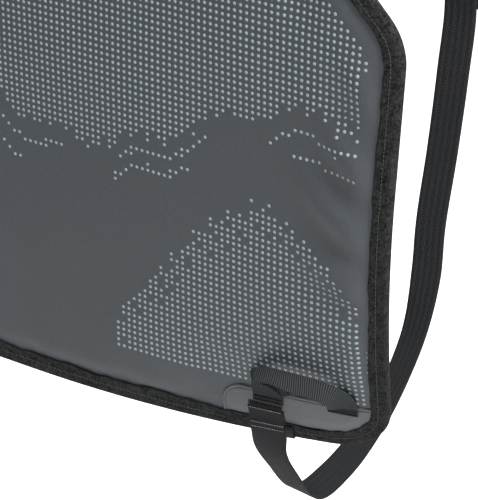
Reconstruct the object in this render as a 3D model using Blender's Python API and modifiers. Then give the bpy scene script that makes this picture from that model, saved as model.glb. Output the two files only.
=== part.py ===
"""Tailgate bike pad: a padded saddle that hangs over the top edge of a pickup's tailgate.

Metres, +Z up. The origin is the middle of the flat that rests on the tailgate's top edge. +X runs
along the tailgate, the outer panel hangs on the -Y side and the shorter inner flap on the +Y side.

Every sewn piece is laid out on a flat pattern and then draped. On the pattern x runs across the pad
and v runs along it from the middle of the top: positive down the outer panel, negative down the
inner flap. A lift is a distance out of the pad's middle surface, away from the tailgate.
"""

import math

import bmesh
import bpy
import numpy as np
from mathutils import Matrix, Vector

# The pattern's outline, from the outer panel's foot up to the inner flap's end
FOOT_HALF = 0.3305
SHOULDER_HALF = 0.3462
NECK_HALF = 0.263
SHOULDER_RISE = 0.366
SHOULDER_SLOPE = math.radians(45.5)
FOOT_CORNER = 0.048
SHOULDER_CORNER = 0.045
NECK_CORNER = 0.050
FLAP_CORNER = 0.040
FOOT_BOW = 0.005

# The section over the tailgate
TOP_FLAT = 0.100
FRONT_BEND = 0.040
PANEL_LENGTH = 0.475
BACK_BEND = 0.075
FLAP_LEAN = math.radians(55)
FLAP_LENGTH = 0.190

# The straps pull each foot corner back, so that it rolls over a wide cylinder that lies askew
ROLL_RADIUS = 0.388
ROLL_REACH = 0.191
ROLL_TURN = math.radians(37)

# Thicknesses and the gaps between layers
COVER = 0.0012
FOAM = 0.0050
LINING = 0.0015
LAYER_GAP = 0.0003
PINCH = 0.0006
TAPE = 0.0010
TAPE_GAP = 0.0007
TAPE_LEAF = 0.0112
FOOT_LEAF = 0.0145
PATCH = 0.0008
INK = 0.0002
WEBBING = 0.0016
SEAT_GAP = 0.0003

# Corner patches
PATCH_REACH = 0.134
PATCH_INNER_HEIGHT = 0.046
PATCH_OUTER_HEIGHT = 0.049
PATCH_CORNER = 0.021

# Corner handles, measured in from the shoulder's half width and up from the foot
HANDLE_OUTER = 0.0352
HANDLE_LENGTH = 0.086
HANDLE_WIDTH = 0.024
HANDLE_TACK_RISE = 0.029
HANDLE_LOOP_RISE = 0.036
HANDLE_STAND = 0.0225

# Tailgate straps
STRAP_X = 0.2340
STRAP_WIDTH = 0.030
STRAP_LAP = 0.027
STRAP_SAG = 0.0965
STAY_WIDTH = 0.007
STAY_LAP = 0.009

# Ladder lock buckles and the tabs that hold them
BUCKLE_DROP = 0.034
BUCKLE_LEAN = math.radians(11.5)
BUCKLE_BAR = 0.004
BUCKLE_SLOT = 0.0065
BUCKLE_RIM = 0.004
TAB_LAP = 0.022
TAIL = 0.030

# Frame straps, which lie along X on the flat top
FRAME_STRAP_X = 0.150
FRAME_STRAP_WIDTH = 0.038
FRAME_STRAP_HALF = 0.075
BASE_LENGTH = 0.110
BASE_WIDTH = 0.060
RING_WIRE = 0.0038
RING_LENGTH = 0.024
ANCHOR_LENGTH = 0.040

# The print is plain waves of ink on the outer panel
WAVE_REACH = 0.290
WAVE_TOP = 0.150
WAVE_MIDDLE = 0.325
WAVE_HEIGHT = 0.035
WAVE_LENGTH = 0.44
HILL_INNER = 0.105
HILL_GAP = 0.005
HILL_RISE = 0.150

# Facets
ARC_STEPS = 3
BEND_STEPS = 4
ROW_PITCH = 0.055
COLUMNS = 12

HALF = (COVER + FOAM + LINING + 2 * LAYER_GAP) / 2
FOOT_V = TOP_FLAT / 2 + FRONT_BEND * math.pi / 2 + PANEL_LENGTH
FLAP_V = -(TOP_FLAT / 2 + BACK_BEND * FLAP_LEAN + FLAP_LENGTH)
SHOULDER_V = FOOT_V - SHOULDER_RISE
NECK_V = SHOULDER_V - (SHOULDER_HALF - NECK_HALF) * math.tan(SHOULDER_SLOPE)
EDGE_INSET = TAPE + TAPE_GAP
TAPE_TOP = HALF + TAPE_GAP + TAPE
WEBBING_LIFT = TAPE_TOP + SEAT_GAP + WEBBING / 2
WRAP = BUCKLE_BAR / math.sqrt(2) + SEAT_GAP + WEBBING / 2
PATCH_LIFT = HALF + SEAT_GAP


def drape(x, v, lift):
    """The place of a pattern point: its section over the tailgate, then the roll of the foot corner."""
    x, v, lift = np.broadcast_arrays(*(np.asarray(a, float) for a in (x, v, lift)))
    side = np.sign(x)
    low = np.clip((v - TOP_FLAT) / (FOOT_V - TOP_FLAT), 0, 1)
    v = v + FOOT_BOW * low * (x / FOOT_HALF) ** 4
    sin, cos = math.sin(ROLL_TURN), math.cos(ROLL_TURN)
    past = np.maximum((abs(x) - FOOT_HALF) * sin + (v - FOOT_V) * cos + ROLL_REACH, 0)
    roll = past / ROLL_RADIUS
    pulled = past - ROLL_RADIUS * np.sin(roll)
    x, v = x - side * pulled * sin, v - pulled * cos
    front = np.clip((v - TOP_FLAT / 2) / FRONT_BEND, 0, math.pi / 2)
    back = np.clip((-v - TOP_FLAT / 2) / BACK_BEND, 0, FLAP_LEAN)
    hanging = np.maximum(v - TOP_FLAT / 2 - FRONT_BEND * math.pi / 2, 0)
    leaning = np.maximum(-v - TOP_FLAT / 2 - BACK_BEND * FLAP_LEAN, 0)
    y = -np.clip(v, -TOP_FLAT / 2, TOP_FLAT / 2) - FRONT_BEND * np.sin(front) + BACK_BEND * np.sin(back)
    y += leaning * math.cos(FLAP_LEAN) + ROLL_RADIUS * (1 - np.cos(roll))
    z = HALF - FRONT_BEND * (1 - np.cos(front)) - BACK_BEND * (1 - np.cos(back))
    z -= hanging + leaning * math.sin(FLAP_LEAN)
    out_x = side * np.sin(roll) * sin
    out_y = (np.sin(back) - np.sin(front)) * np.cos(roll)
    out_z = np.cos(front) * np.cos(back) * np.cos(roll) - np.sin(roll) * cos
    return np.stack([x + out_x * lift, y + out_y * lift, z + out_z * lift], axis=-1)


def flowing(points, count):
    """count points along a smooth curve through the given ones, which lean as their neighbours do."""
    points = np.asarray(points, float)
    along = np.concatenate([[0], np.cumsum(np.linalg.norm(np.diff(points, axis=0), axis=1))])
    slope = np.gradient(points, along, axis=0)
    at = np.linspace(0, along[-1], count)
    i = np.clip(np.searchsorted(along, at, side="right") - 1, 0, len(points) - 2)
    step = (along[i + 1] - along[i])[:, None]
    t = (at - along[i])[:, None] / step
    start = (1 + 2 * t) * (1 - t) ** 2 * points[i] + t * (1 - t) ** 2 * step * slope[i]
    end = t * t * (3 - 2 * t) * points[i + 1] - t * t * (1 - t) * step * slope[i + 1]
    return start + end


def arc(centre, radius, first, last, steps=6):
    """Points on an arc in a plane, angles in turns of pi from the plane's first axis."""
    angles = math.pi * np.linspace(first, last, steps + 1)
    return np.array(centre) + radius * np.stack([np.cos(angles), np.sin(angles)], axis=-1)


def rounded(corners, radii, steps):
    """A path with its inner corners rounded: its points and their outward normals."""
    corners = np.asarray(corners, float)
    points, normals = [], []
    for before, here, after, radius in zip(corners, corners[1:], corners[2:], radii):
        into = (here - before) / np.linalg.norm(here - before)
        away = (after - here) / np.linalg.norm(after - here)
        turn = math.atan2(into[0] * away[1] - into[1] * away[0], into @ away)
        first = math.atan2(-into[0], into[1])
        for angle in first + turn * np.linspace(0, 1, steps + 1):
            normal = np.array([math.cos(angle), math.sin(angle)])
            bulge = math.copysign(radius, turn)
            reach = radius * abs(math.tan(turn / 2))
            start_normal = np.array([math.cos(first), math.sin(first)])
            centre = here - into * reach - start_normal * bulge
            points.append(centre + normal * bulge)
            normals.append(normal)
    return np.array(points), np.array(normals)


def leaf(out):
    """How far in from the outline the tape reaches, for each outward normal: furthest at the foot."""
    return TAPE_LEAF + (FOOT_LEAF - TAPE_LEAF) * np.maximum(out[..., 1:], 0) ** 2


def bend_rows():
    """Where the pattern needs rows of facets: through both bends, and at even steps between."""
    front = TOP_FLAT / 2 + FRONT_BEND * math.pi / 2 * np.linspace(0, 1, BEND_STEPS + 1)
    back = -TOP_FLAT / 2 - BACK_BEND * FLAP_LEAN * np.linspace(0, 1, BEND_STEPS)
    panel = np.linspace(front[-1], FOOT_V, round((FOOT_V - front[-1]) / ROW_PITCH) + 1)[1:-1]
    flap = np.linspace(back[-1], FLAP_V, round((back[-1] - FLAP_V) / ROW_PITCH) + 1)[1:-1]
    return np.concatenate([flap, back, [0], front, panel])


def edge():
    """The right half of the outline as rows from the flap's end to the foot: (x, v) and normals."""
    corners = [
        (0, FLAP_V),
        (NECK_HALF, FLAP_V),
        (NECK_HALF, NECK_V),
        (SHOULDER_HALF, SHOULDER_V),
        (FOOT_HALF, FOOT_V),
        (0, FOOT_V),
    ]
    radii = [FLAP_CORNER, NECK_CORNER, SHOULDER_CORNER, FOOT_CORNER]
    points, normals = rounded(corners, radii, ARC_STEPS)
    clear = [v for v in bend_rows() if abs(points[:, 1] - v).min() > ROW_PITCH / 8]
    rows = np.sort(np.concatenate([points[:, 1], clear]))
    at = np.stack([np.interp(rows, points[:, 1], points[:, 0]), rows], axis=1)
    out = np.stack([np.interp(rows, points[:, 1], normals[:, k]) for k in (0, 1)], axis=1)
    return at, out / np.linalg.norm(out, axis=1)[:, None]


def half_width(v, inset):
    """Half the pattern's width at v inside the tape, less an inset."""
    at, out = edge()
    inner = at - out * (inset + leaf(out))
    return np.interp(v, inner[:, 1], inner[:, 0])


def columns(half):
    """x across a row of that half width: a strip under the tape at each side and even steps between."""
    inner = (half - TAPE_LEAF) * np.linspace(-1, 1, COLUMNS + 1)
    return np.concatenate([[-half], inner, [half]])


def material(name, colour, roughness, metallic=0.0):
    made = bpy.data.materials.new(name)
    made.use_nodes = True
    shader = made.node_tree.nodes["Principled BSDF"]
    shader.inputs["Base Color"].default_value = (*colour, 1)
    shader.inputs["Roughness"].default_value = roughness
    shader.inputs["Metallic"].default_value = metallic
    made.diffuse_color = (*colour, 1)
    return made


def add(name, mesh, finish, collection):
    piece = bpy.data.objects.new(name, mesh)
    mesh.materials.append(finish)
    collection.objects.link(piece)
    return piece


def sheet(name, points, thickness, finish, collection, offset=1, even=False, ring=False, rim=1.0):
    """A grid bent to rows of points, given its thickness by Solidify: out of the side it faces.

    rim is the share of the thickness that the outermost points keep.
    """
    rows, cols = points.shape[0] - 1, points.shape[1] - 1
    form = bmesh.new()
    bmesh.ops.create_grid(form, x_segments=cols, y_segments=rows, size=1)
    for vertex in form.verts:
        row = round((vertex.co.y + 1) / 2 * rows)
        col = round((vertex.co.x + 1) / 2 * cols)
        vertex.co = points[row, col]
    if ring:
        bmesh.ops.remove_doubles(form, verts=form.verts, dist=1e-6)
    mesh = bpy.data.meshes.new(name)
    border = [vertex.index for vertex in form.verts if vertex.is_boundary]
    form.to_mesh(mesh)
    form.free()
    mesh.shade_smooth()
    mesh.set_sharp_from_angle(angle=math.radians(40))
    piece = add(name, mesh, finish, collection)
    wall = piece.modifiers.new("Thickness", "SOLIDIFY")
    wall.thickness = thickness
    wall.offset = offset
    wall.use_even_offset = even
    if rim < 1:
        share = piece.vertex_groups.new(name="Thickness share")
        share.add(list(range(len(mesh.vertices))), 1.0, "REPLACE")
        share.add(border, rim, "REPLACE")
        wall.vertex_group = share.name
    return piece


def mirrored(points):
    """The same rows of points on the left half, still facing out."""
    return points[:, ::-1] * (-1, 1, 1)


def on_side(points, side):
    return points if side > 0 else mirrored(points)


def layer(name, lift, thickness, finish, collection, pinch=0, rim=1.0):
    """One sheet of the pad, from its face towards the tailgate outwards. The tape pinches its edge."""
    at, out = edge()
    inner = at - out * EDGE_INSET
    lifts = np.full((len(inner), COLUMNS + 3), float(lift))
    lifts[1:-1, 1:-1] -= pinch
    rows = [drape(columns(half), v, raised) for (half, v), raised in zip(inner[::-1], lifts + pinch)]
    return sheet(name, np.array(rows), thickness, finish, collection, rim=rim)


def edge_loop():
    """The whole outline once round, with points where the layers' rows and columns meet it."""
    at, out = edge()
    foot = columns(at[-1, 0] - EDGE_INSET)[1:-1]
    end = columns(at[0, 0] - EDGE_INSET)[1:-1]
    across = [(np.stack([foot[::-1], np.full(len(foot), FOOT_V)], axis=1), (0, 1))]
    across.append((np.stack([end, np.full(len(end), FLAP_V)], axis=1), (0, -1)))
    (foot, down), (end, up) = across
    loop = np.concatenate([at, foot, at[::-1] * (-1, 1), end, at[:1]])
    normals = [out, np.tile(down, (len(foot), 1)), out[::-1] * (-1, 1), np.tile(up, (len(end), 1)), out[:1]]
    return loop, np.concatenate(normals)


def edge_binding(finish, collection):
    """Tape folded over the raw edge, all the way round: a U section carried along the outline."""
    loop, out = edge_loop()
    reach = HALF + TAPE_GAP
    section = [(1, -reach), (0, -reach), (0, reach), (1, reach)]
    rows = []
    for share, lift in section:
        inner = loop - out * (TAPE + share * (leaf(out) - TAPE))
        rows.append(drape(inner[:, 0], inner[:, 1], lift))
    points = np.array(rows).transpose(1, 0, 2)
    return sheet("edge_binding", points, TAPE, finish, collection, even=True, ring=True)


def corner_patch(side, finish, collection):
    """Plain tarpaulin over the foot corner, up to the tape, with one rounded corner."""
    gap = FOOT_LEAF + SEAT_GAP
    inner_x = FOOT_HALF - PATCH_REACH
    foot = FOOT_V - gap
    rows = []
    for share in (1, 0.93, 0.8, 0.6, 0.4, 0.22, 0.08, 0):
        below = (1 - share) * (PATCH_INNER_HEIGHT - gap)
        short = max(PATCH_CORNER - below, 0)
        left = inner_x + PATCH_CORNER - math.sqrt(PATCH_CORNER**2 - short**2)
        across = np.linspace(0, 1, 8)
        height = PATCH_INNER_HEIGHT + (PATCH_OUTER_HEIGHT - PATCH_INNER_HEIGHT) * across - gap
        v = foot - share * height
        right = half_width(v, SEAT_GAP)
        rows.append(drape(left + (right - left) * across, v, PATCH_LIFT))
    points = on_side(np.array(rows)[::-1], side)
    return sheet(f"corner_patch_{word(side)}", points, PATCH, finish, collection)


def word(side):
    return "right" if side > 0 else "left"


def ribbon(name, edge_a, edge_b, thickness, finish, collection):
    """A strip of webbing between two edges in space, half its thickness to each side."""
    points = np.stack([edge_a, edge_b], axis=1)
    return sheet(name, points, thickness, finish, collection, offset=0, even=True)


def corner_handle(side, finish, collection):
    """A webbing loop that lies flat at both tacks and stands on edge, out from the panel, between."""
    right = SHOULDER_HALF - HANDLE_OUTER
    left = right - HANDLE_LENGTH
    flat = PATCH_LIFT + PATCH + SEAT_GAP + WEBBING / 2
    stand, rise = HANDLE_STAND, HANDLE_LOOP_RISE
    middle, quarter = (left + right) / 2, HANDLE_LENGTH / 4
    near = [
        (left, 0, 0),
        (left, 0.35 * rise, 0),
        (left, 0.62 * rise, 0.0004),
        (left + 0.5 * quarter, 0.85 * rise, 0.001),
        (left + 1.3 * quarter, 0.95 * rise, 0.0012),
        (middle, rise, 0.0015),
        (right - quarter, 0.98 * rise, 0.0012),
        (right - 0.4 * quarter, 0.76 * rise, 0.001),
        (right, 0.42 * rise, 0.0006),
        (right, 0.2 * rise, 0),
        (right, 0, 0),
    ]
    inner_left, inner_right = left + HANDLE_WIDTH, right - HANDLE_WIDTH
    far = [
        (inner_left, 0, 0),
        (inner_left, 0.28 * rise, 0.0002),
        (inner_left + 0.0005, 0.5 * rise, 0.25 * stand),
        (inner_left + 0.003, 0.72 * rise, 0.7 * stand),
        (inner_left + 0.008, 0.87 * rise, 0.93 * stand),
        (middle, 0.9 * rise, stand),
        (inner_right - 0.008, 0.87 * rise, 0.93 * stand),
        (inner_right - 0.003, 0.72 * rise, 0.7 * stand),
        (inner_right - 0.0005, 0.5 * rise, 0.25 * stand),
        (inner_right, 0.28 * rise, 0.0002),
        (inner_right, 0, 0),
    ]
    edges = []
    for route in (near, far):
        x, up, out = flowing(route, 25).T
        v = FOOT_V - HANDLE_TACK_RISE - HANDLE_WIDTH / 2 - up
        edges.append(drape(side * x, v, flat + np.maximum(out, 0)))
    return ribbon(f"corner_handle_{word(side)}", *edges, WEBBING, finish, collection)


def buckle_frame():
    """The ladder lock's place in the section: its middle bar, its up and its side towards the panel."""
    end = drape(STRAP_X, FLAP_V, 0)[1:]
    up = np.array([-math.sin(BUCKLE_LEAN), math.cos(BUCKLE_LEAN)])
    return end - BUCKLE_DROP * up, up, np.array([-up[1], up[0]])


def from_buckle(points):
    """Places in the section of points given as (towards the panel, up) from the middle bar."""
    centre, up, near = buckle_frame()
    points = np.asarray(points, float)
    return centre + points[:, :1] * near + points[:, 1:] * up


def strap_edge(x):
    """One edge of a tailgate strap: on the patch, round the hanging loop and through the buckle."""
    lift = WEBBING_LIFT + SEAT_GAP
    sewn = drape(x, FOOT_V + np.array([-STRAP_LAP, -STRAP_LAP / 2, 0]), lift)
    bar_pitch = BUCKLE_BAR + BUCKLE_SLOT
    lead_in = from_buckle([(WRAP, -3 * bar_pitch), (WRAP, -bar_pitch)])
    leave, arrive = drape(STRAP_X, FOOT_V, lift)[1:], lead_in[0]
    hang = [
        (0.021, -0.19),
        (0.08, -0.52),
        (0.178, -0.90),
        (0.366, -1.03),
        (0.56, -0.895),
        (0.704, -0.62),
        (0.814, -0.31),
        (0.875, 0.083),
        (0.893, 0.24),
        (0.94, 0.50),
        (0.98, 0.76),
    ]
    loop = []
    for across, height in hang:
        rise = STRAP_SAG if height < 0 else arrive[1] - leave[1]
        loop.append((leave[0] + across * (arrive[0] - leave[0]), leave[1] + height * rise))
    free = np.concatenate([sewn[:, 1:], loop, lead_in])
    across = np.concatenate([sewn[:, 0], np.full(len(free) - len(sewn), x)])
    run = flowing(np.column_stack([across, free]), 44)
    over = from_buckle(arc((0, 0), WRAP, 0, 1))
    tail = from_buckle([(-WRAP, -bar_pitch), (-WRAP, -bar_pitch - TAIL)])
    rest = np.concatenate([over, tail])
    return np.concatenate([run, np.column_stack([np.full(len(rest), x), rest])])


def tailgate_strap(side, finish, collection):
    edges = [strap_edge(side * (STRAP_X + across * STRAP_WIDTH / 2)) for across in (-1, 1)]
    return ribbon(f"tailgate_strap_{word(side)}", *edges, WEBBING, finish, collection)


def wrap_ribbon(name, x, width, path, finish, collection):
    """A ribbon across x whose path is given in the section."""
    edges = [np.column_stack([np.full(len(path), x + half), path]) for half in (-width / 2, width / 2)]
    return ribbon(name, *edges, WEBBING, finish, collection)


def strap_stay(side, finish, collection):
    """A scrap of webbing folded round the foot's tape beside the strap."""
    first = STRAP_X + STRAP_WIDTH / 2 + SEAT_GAP
    beyond = SEAT_GAP + WEBBING / 2
    fold = [(-STAY_LAP, 1), (beyond * 0.4, 1), (beyond * 1.1, 0.86)]
    fold += [(v, -lift - 0.12) for v, lift in fold[::-1]]
    edges = []
    for x in (first, first + STAY_WIDTH):
        edges.append(np.array([drape(side * x, FOOT_V + v, WEBBING_LIFT * lift) for v, lift in fold]))
    return ribbon(f"strap_stay_{word(side)}", *edges, WEBBING, finish, collection)


def block(name, size, finish, collection):
    form = bmesh.new()
    bmesh.ops.create_cube(form, size=1)
    bmesh.ops.scale(form, verts=form.verts, vec=size)
    mesh = bpy.data.meshes.new(name)
    form.to_mesh(mesh)
    form.free()
    return add(name, mesh, finish, collection)


def buckle(side, finish, collection, cutters):
    """A three-bar ladder lock: a plate with two slots."""
    width = STRAP_WIDTH + 2 * SEAT_GAP + 2 * BUCKLE_RIM
    height = 3 * BUCKLE_BAR + 2 * BUCKLE_SLOT
    piece = block(f"buckle_{word(side)}", (width, BUCKLE_BAR, height), finish, collection)
    centre, up, _ = buckle_frame()
    turn = Matrix.Rotation(math.atan2(-up[0], up[1]), 4, "X")
    place = Matrix.Translation(Vector((side * STRAP_X, *centre))) @ turn
    for level in (-1, 1):
        slot = block(
            f"buckle_slot_{word(side)}_{level}",
            (STRAP_WIDTH + 2 * SEAT_GAP, 3 * BUCKLE_BAR, BUCKLE_SLOT),
            finish,
            cutters,
        )
        slot.matrix_world = place @ Matrix.Translation((0, 0, level * (BUCKLE_BAR + BUCKLE_SLOT) / 2))
        hide(slot)
        cut = piece.modifiers.new("Slot", "BOOLEAN")
        cut.operation = "DIFFERENCE"
        cut.object = slot
    piece.matrix_world = place
    return piece


def hide(helper):
    helper.hide_render = True
    helper.display_type = "WIRE"


def buckle_tab(side, finish, collection):
    """Webbing sewn to both faces of the flap, round the buckle's top bar."""
    top_bar = BUCKLE_BAR + BUCKLE_SLOT
    laps = FLAP_V + np.array([TAB_LAP, TAB_LAP / 2, 0])
    outer = drape(STRAP_X, laps, WEBBING_LIFT)[:, 1:]
    inner = drape(STRAP_X, laps[::-1], -WEBBING_LIFT)[:, 1:]
    under = from_buckle(arc((0, top_bar), WRAP, 1, 2))
    path = np.concatenate([outer, under, inner])
    return wrap_ribbon(
        f"buckle_tab_{word(side)}", side * STRAP_X, STRAP_WIDTH, path, finish, collection
    )


def frame_strap_base(side, finish, collection):
    """The patch on the flat top that the frame strap is sewn to."""
    x = side * FRAME_STRAP_X + np.linspace(-BASE_LENGTH / 2, BASE_LENGTH / 2, 2)
    rows = [drape(x, v, PATCH_LIFT) for v in (BASE_WIDTH / 2, -BASE_WIDTH / 2)]
    return sheet(f"frame_strap_base_{word(side)}", np.array(rows), PATCH, finish, collection)


def lying_ribbon(name, side, path, width, finish, collection):
    """A ribbon whose path is given as (outward from the strap's middle, height over the top)."""
    path = np.asarray(path, float)
    edges = []
    for v in (-width / 2, width / 2):
        edges.append(drape(side * (FRAME_STRAP_X + path[:, 0]), v, HALF + path[:, 1]))
    return ribbon(name, *edges, WEBBING, finish, collection)


def frame_strap_levels():
    """Heights over the top: webbing on the base, its pitch, the ring's middle, and two upper runs."""
    low = SEAT_GAP + PATCH + SEAT_GAP + WEBBING / 2
    pitch = WEBBING + 2 * SEAT_GAP
    wrap = RING_WIRE / 2 + SEAT_GAP + WEBBING / 2
    ring = low + wrap
    over_anchor = ring + wrap + pitch + 0.0005
    return low, pitch, wrap, ring, over_anchor


def frame_strap_anchor(side, finish, collection):
    """Webbing sewn to the base, round the ring's inner bar and sewn down on itself."""
    low, pitch, wrap, ring, _ = frame_strap_levels()
    bar = -FRAME_STRAP_HALF + RING_LENGTH
    end = bar + ANCHOR_LENGTH
    turn = arc((bar, ring), wrap, 1.5, 0.5)
    path = np.concatenate([[(end, low)], turn, [(end - ANCHOR_LENGTH / 2, low + pitch), (end, low + pitch)]])
    name = f"frame_strap_anchor_{word(side)}"
    return lying_ribbon(name, side, path, FRAME_STRAP_WIDTH, finish, collection)


def frame_strap(side, finish, collection):
    """Hook and loop strap: from the base outwards, back over itself, through the ring and back."""
    low, pitch, wrap, ring, over_anchor = frame_strap_levels()
    start = -FRAME_STRAP_HALF + RING_LENGTH + ANCHOR_LENGTH + 0.004
    outer_bar, inner_bar = -FRAME_STRAP_HALF, -FRAME_STRAP_HALF + RING_LENGTH
    top = over_anchor + pitch
    path = [
        [(start, low)],
        arc((FRAME_STRAP_HALF, low + pitch / 2), pitch / 2, -0.5, 0.5, 4),
        [(start + 0.012, low + pitch)],
        [(start - 0.012, low + 2 * pitch + 0.001)],
        [(inner_bar + 0.006, over_anchor), (inner_bar - 0.001, over_anchor)],
        [(outer_bar + 0.4 * RING_LENGTH, (over_anchor + ring) / 2 - 0.001)],
        arc((outer_bar, ring), wrap, -0.35, -1.0),
        [(outer_bar - wrap, (ring + top) / 2)],
        [(outer_bar + 0.2 * RING_LENGTH, top), (inner_bar + 0.008, top)],
        [(start - 0.010, low + 3 * pitch + 0.002), (start + 0.014, low + 2 * pitch)],
        [(start + 0.045, low + 2 * pitch)],
    ]
    name = f"frame_strap_{word(side)}"
    return lying_ribbon(name, side, np.concatenate(path), FRAME_STRAP_WIDTH, finish, collection)


def frame_strap_ring(side, finish, collection):
    """A rectangular wire ring lying level: two bars along Y joined by rounded ends."""
    ring = frame_strap_levels()[3]
    half_y = (FRAME_STRAP_WIDTH + RING_WIRE) / 2 + 2 * SEAT_GAP + RING_WIRE / 2
    outer = FRAME_STRAP_X - FRAME_STRAP_HALF
    corners = [(outer, 0), (outer, half_y), (outer + RING_LENGTH, half_y)]
    corners += [(outer + RING_LENGTH, -half_y), (outer, -half_y), (outer, 0)]
    points, _ = rounded(corners, [RING_WIRE] * 4, 3)
    curve = bpy.data.curves.new(f"frame_strap_ring_{word(side)}", "CURVE")
    curve.dimensions = "3D"
    curve.bevel_depth = RING_WIRE / 2
    curve.bevel_resolution = 1
    spline = curve.splines.new("POLY")
    spline.points.add(len(points) - 1)
    spline.use_cyclic_u = True
    for point, (x, y) in zip(spline.points, points):
        point.co = (side * x, y, 2 * HALF + ring, 1)
    return add(curve.name, curve, finish, collection)


def wave(x):
    """The wavy lower edge of the broad field of ink."""
    return WAVE_MIDDLE + WAVE_HEIGHT * np.sin(2 * math.pi * (x / WAVE_LENGTH + 0.09))


def print_wave(finish, collection):
    """A broad field of ink from the neck down to a wavy edge."""
    rows = []
    for share in np.linspace(0, 1, 7):
        top = WAVE_TOP
        x = np.linspace(-1, 1, 25)
        reach = np.minimum(WAVE_REACH, half_width(top + share * (WAVE_MIDDLE - top), 0.018))
        v = top + share * (wave(x * reach) - top)
        rows.append(drape(x * reach, v, PATCH_LIFT))
    return sheet("print_wave", np.array(rows)[::-1], INK, finish, collection)


def print_hill(side, finish, collection):
    """A field of ink like a hill, which stands on the corner patch."""
    across = np.linspace(0, 1, 11)
    patch_share = np.clip((across - 0.45) / 0.55, 0, 1)
    patch_height = PATCH_INNER_HEIGHT + (PATCH_OUTER_HEIGHT - PATCH_INNER_HEIGHT) * patch_share
    bottom = FOOT_V - patch_height - 0.006
    rise = 0.012 + HILL_RISE * np.sin(math.pi * (0.12 + 0.62 * across)) ** 2
    rows = []
    for share in np.linspace(0, 1, 9):
        v = bottom - share * rise
        rows.append(drape(HILL_INNER + (half_width(v, HILL_GAP) - HILL_INNER) * across, v, PATCH_LIFT))
    points = on_side(np.array(rows), side)
    return sheet(f"print_hill_{word(side)}", points, INK, finish, collection)


def main():
    for old in list(bpy.data.objects):
        bpy.data.objects.remove(old)
    parts = bpy.data.collections.new("tailgate bike pad")
    cutters = bpy.data.collections.new("cutters")
    for collection in (parts, cutters):
        bpy.context.scene.collection.children.link(collection)

    tarpaulin = material("tarpaulin", (0.080, 0.090, 0.100), 0.55)
    patch_tarpaulin = material("patch tarpaulin", (0.092, 0.098, 0.104), 0.5)
    foam = material("foam", (0.10, 0.10, 0.10), 0.95)
    fleece = material("fleece", (0.045, 0.046, 0.048), 0.95)
    tape = material("binding tape", (0.026, 0.026, 0.028), 0.85)
    webbing = material("webbing", (0.018, 0.020, 0.024), 0.75)
    ribbed = material("handle webbing", (0.040, 0.040, 0.040), 0.75)
    plastic = material("buckle plastic", (0.012, 0.012, 0.013), 0.4)
    steel = material("ring steel", (0.30, 0.30, 0.31), 0.35, 1.0)
    ink = material("print ink", (0.31, 0.37, 0.39), 0.6)

    lining_top = -HALF + LINING
    foam_top = lining_top + LAYER_GAP + FOAM
    layer("lining", -HALF, LINING, fleece, parts, PINCH)
    layer("foam_core", lining_top + LAYER_GAP, FOAM, foam, parts, PINCH, 1 - PINCH / FOAM)
    layer("outer_cover", foam_top + LAYER_GAP, COVER, tarpaulin, parts)
    edge_binding(tape, parts)
    print_wave(ink, parts)
    for side in (-1, 1):
        print_hill(side, ink, parts)
        corner_patch(side, patch_tarpaulin, parts)
        corner_handle(side, ribbed, parts)
        tailgate_strap(side, webbing, parts)
        strap_stay(side, ribbed, parts)
        buckle(side, plastic, parts, cutters)
        buckle_tab(side, webbing, parts)
        frame_strap_base(side, patch_tarpaulin, parts)
        frame_strap_anchor(side, webbing, parts)
        frame_strap(side, webbing, parts)
        frame_strap_ring(side, steel, parts)


main()
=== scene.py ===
"""Tailgate bike pad: its sewn pieces in detail, their finishes and a plain studio.

Metres, +Z up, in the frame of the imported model: +X runs along the tailgate and the outer panel hangs
on the -Y side. Every sewn piece is laid out on a flat pattern and then draped. On the pattern x runs
across the pad and v runs along it from the middle of the top, positive down the outer panel and
negative down the inner flap. A lift is a distance out of the pad's middle surface.
"""

import math

import bmesh
import bpy
import numpy as np
from bpy.props import FloatProperty, FloatVectorProperty, PointerProperty
from mathutils import Matrix


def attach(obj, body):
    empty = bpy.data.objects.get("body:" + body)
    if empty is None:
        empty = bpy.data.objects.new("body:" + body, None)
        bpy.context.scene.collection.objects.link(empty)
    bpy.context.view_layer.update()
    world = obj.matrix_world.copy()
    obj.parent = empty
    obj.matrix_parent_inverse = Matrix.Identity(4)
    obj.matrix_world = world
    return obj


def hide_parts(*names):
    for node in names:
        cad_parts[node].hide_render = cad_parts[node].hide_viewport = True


bl_info = {
    "name": "Tailgate Bike Pad",
    "version": (1, 0, 0),
    "blender": (4, 5, 0),
    "location": "3D View > Sidebar > Bike Pad",
    "description": "Builds a padded tailgate cover for bikes, piece by piece",
    "category": "Add Mesh",
}

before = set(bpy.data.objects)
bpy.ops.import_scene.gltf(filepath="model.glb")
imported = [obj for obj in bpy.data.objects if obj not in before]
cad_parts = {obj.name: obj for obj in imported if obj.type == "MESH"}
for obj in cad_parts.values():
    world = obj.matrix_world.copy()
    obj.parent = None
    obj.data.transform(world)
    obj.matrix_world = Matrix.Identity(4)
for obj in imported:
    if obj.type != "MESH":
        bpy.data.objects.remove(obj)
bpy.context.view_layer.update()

# The pattern's outline and the section over the tailgate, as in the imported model
FOOT_HALF = 0.3305
SHOULDER_HALF = 0.3462
NECK_HALF = 0.263
SHOULDER_RISE = 0.366
SHOULDER_SLOPE = math.radians(45.5)
CORNERS = (0.040, 0.050, 0.045, 0.048)
FOOT_BOW = 0.005
TOP_FLAT = 0.100
FRONT_BEND = 0.040
PANEL_LENGTH = 0.475
BACK_BEND = 0.075
FLAP_LEAN = math.radians(55)
FLAP_LENGTH = 0.190
ROLL_RADIUS = 0.388
ROLL_REACH = 0.191
ROLL_TURN = math.radians(37)
HALF = 0.00415
FOOT_V = TOP_FLAT / 2 + FRONT_BEND * math.pi / 2 + PANEL_LENGTH
FLAP_V = -(TOP_FLAT / 2 + BACK_BEND * FLAP_LEAN + FLAP_LENGTH)
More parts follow.
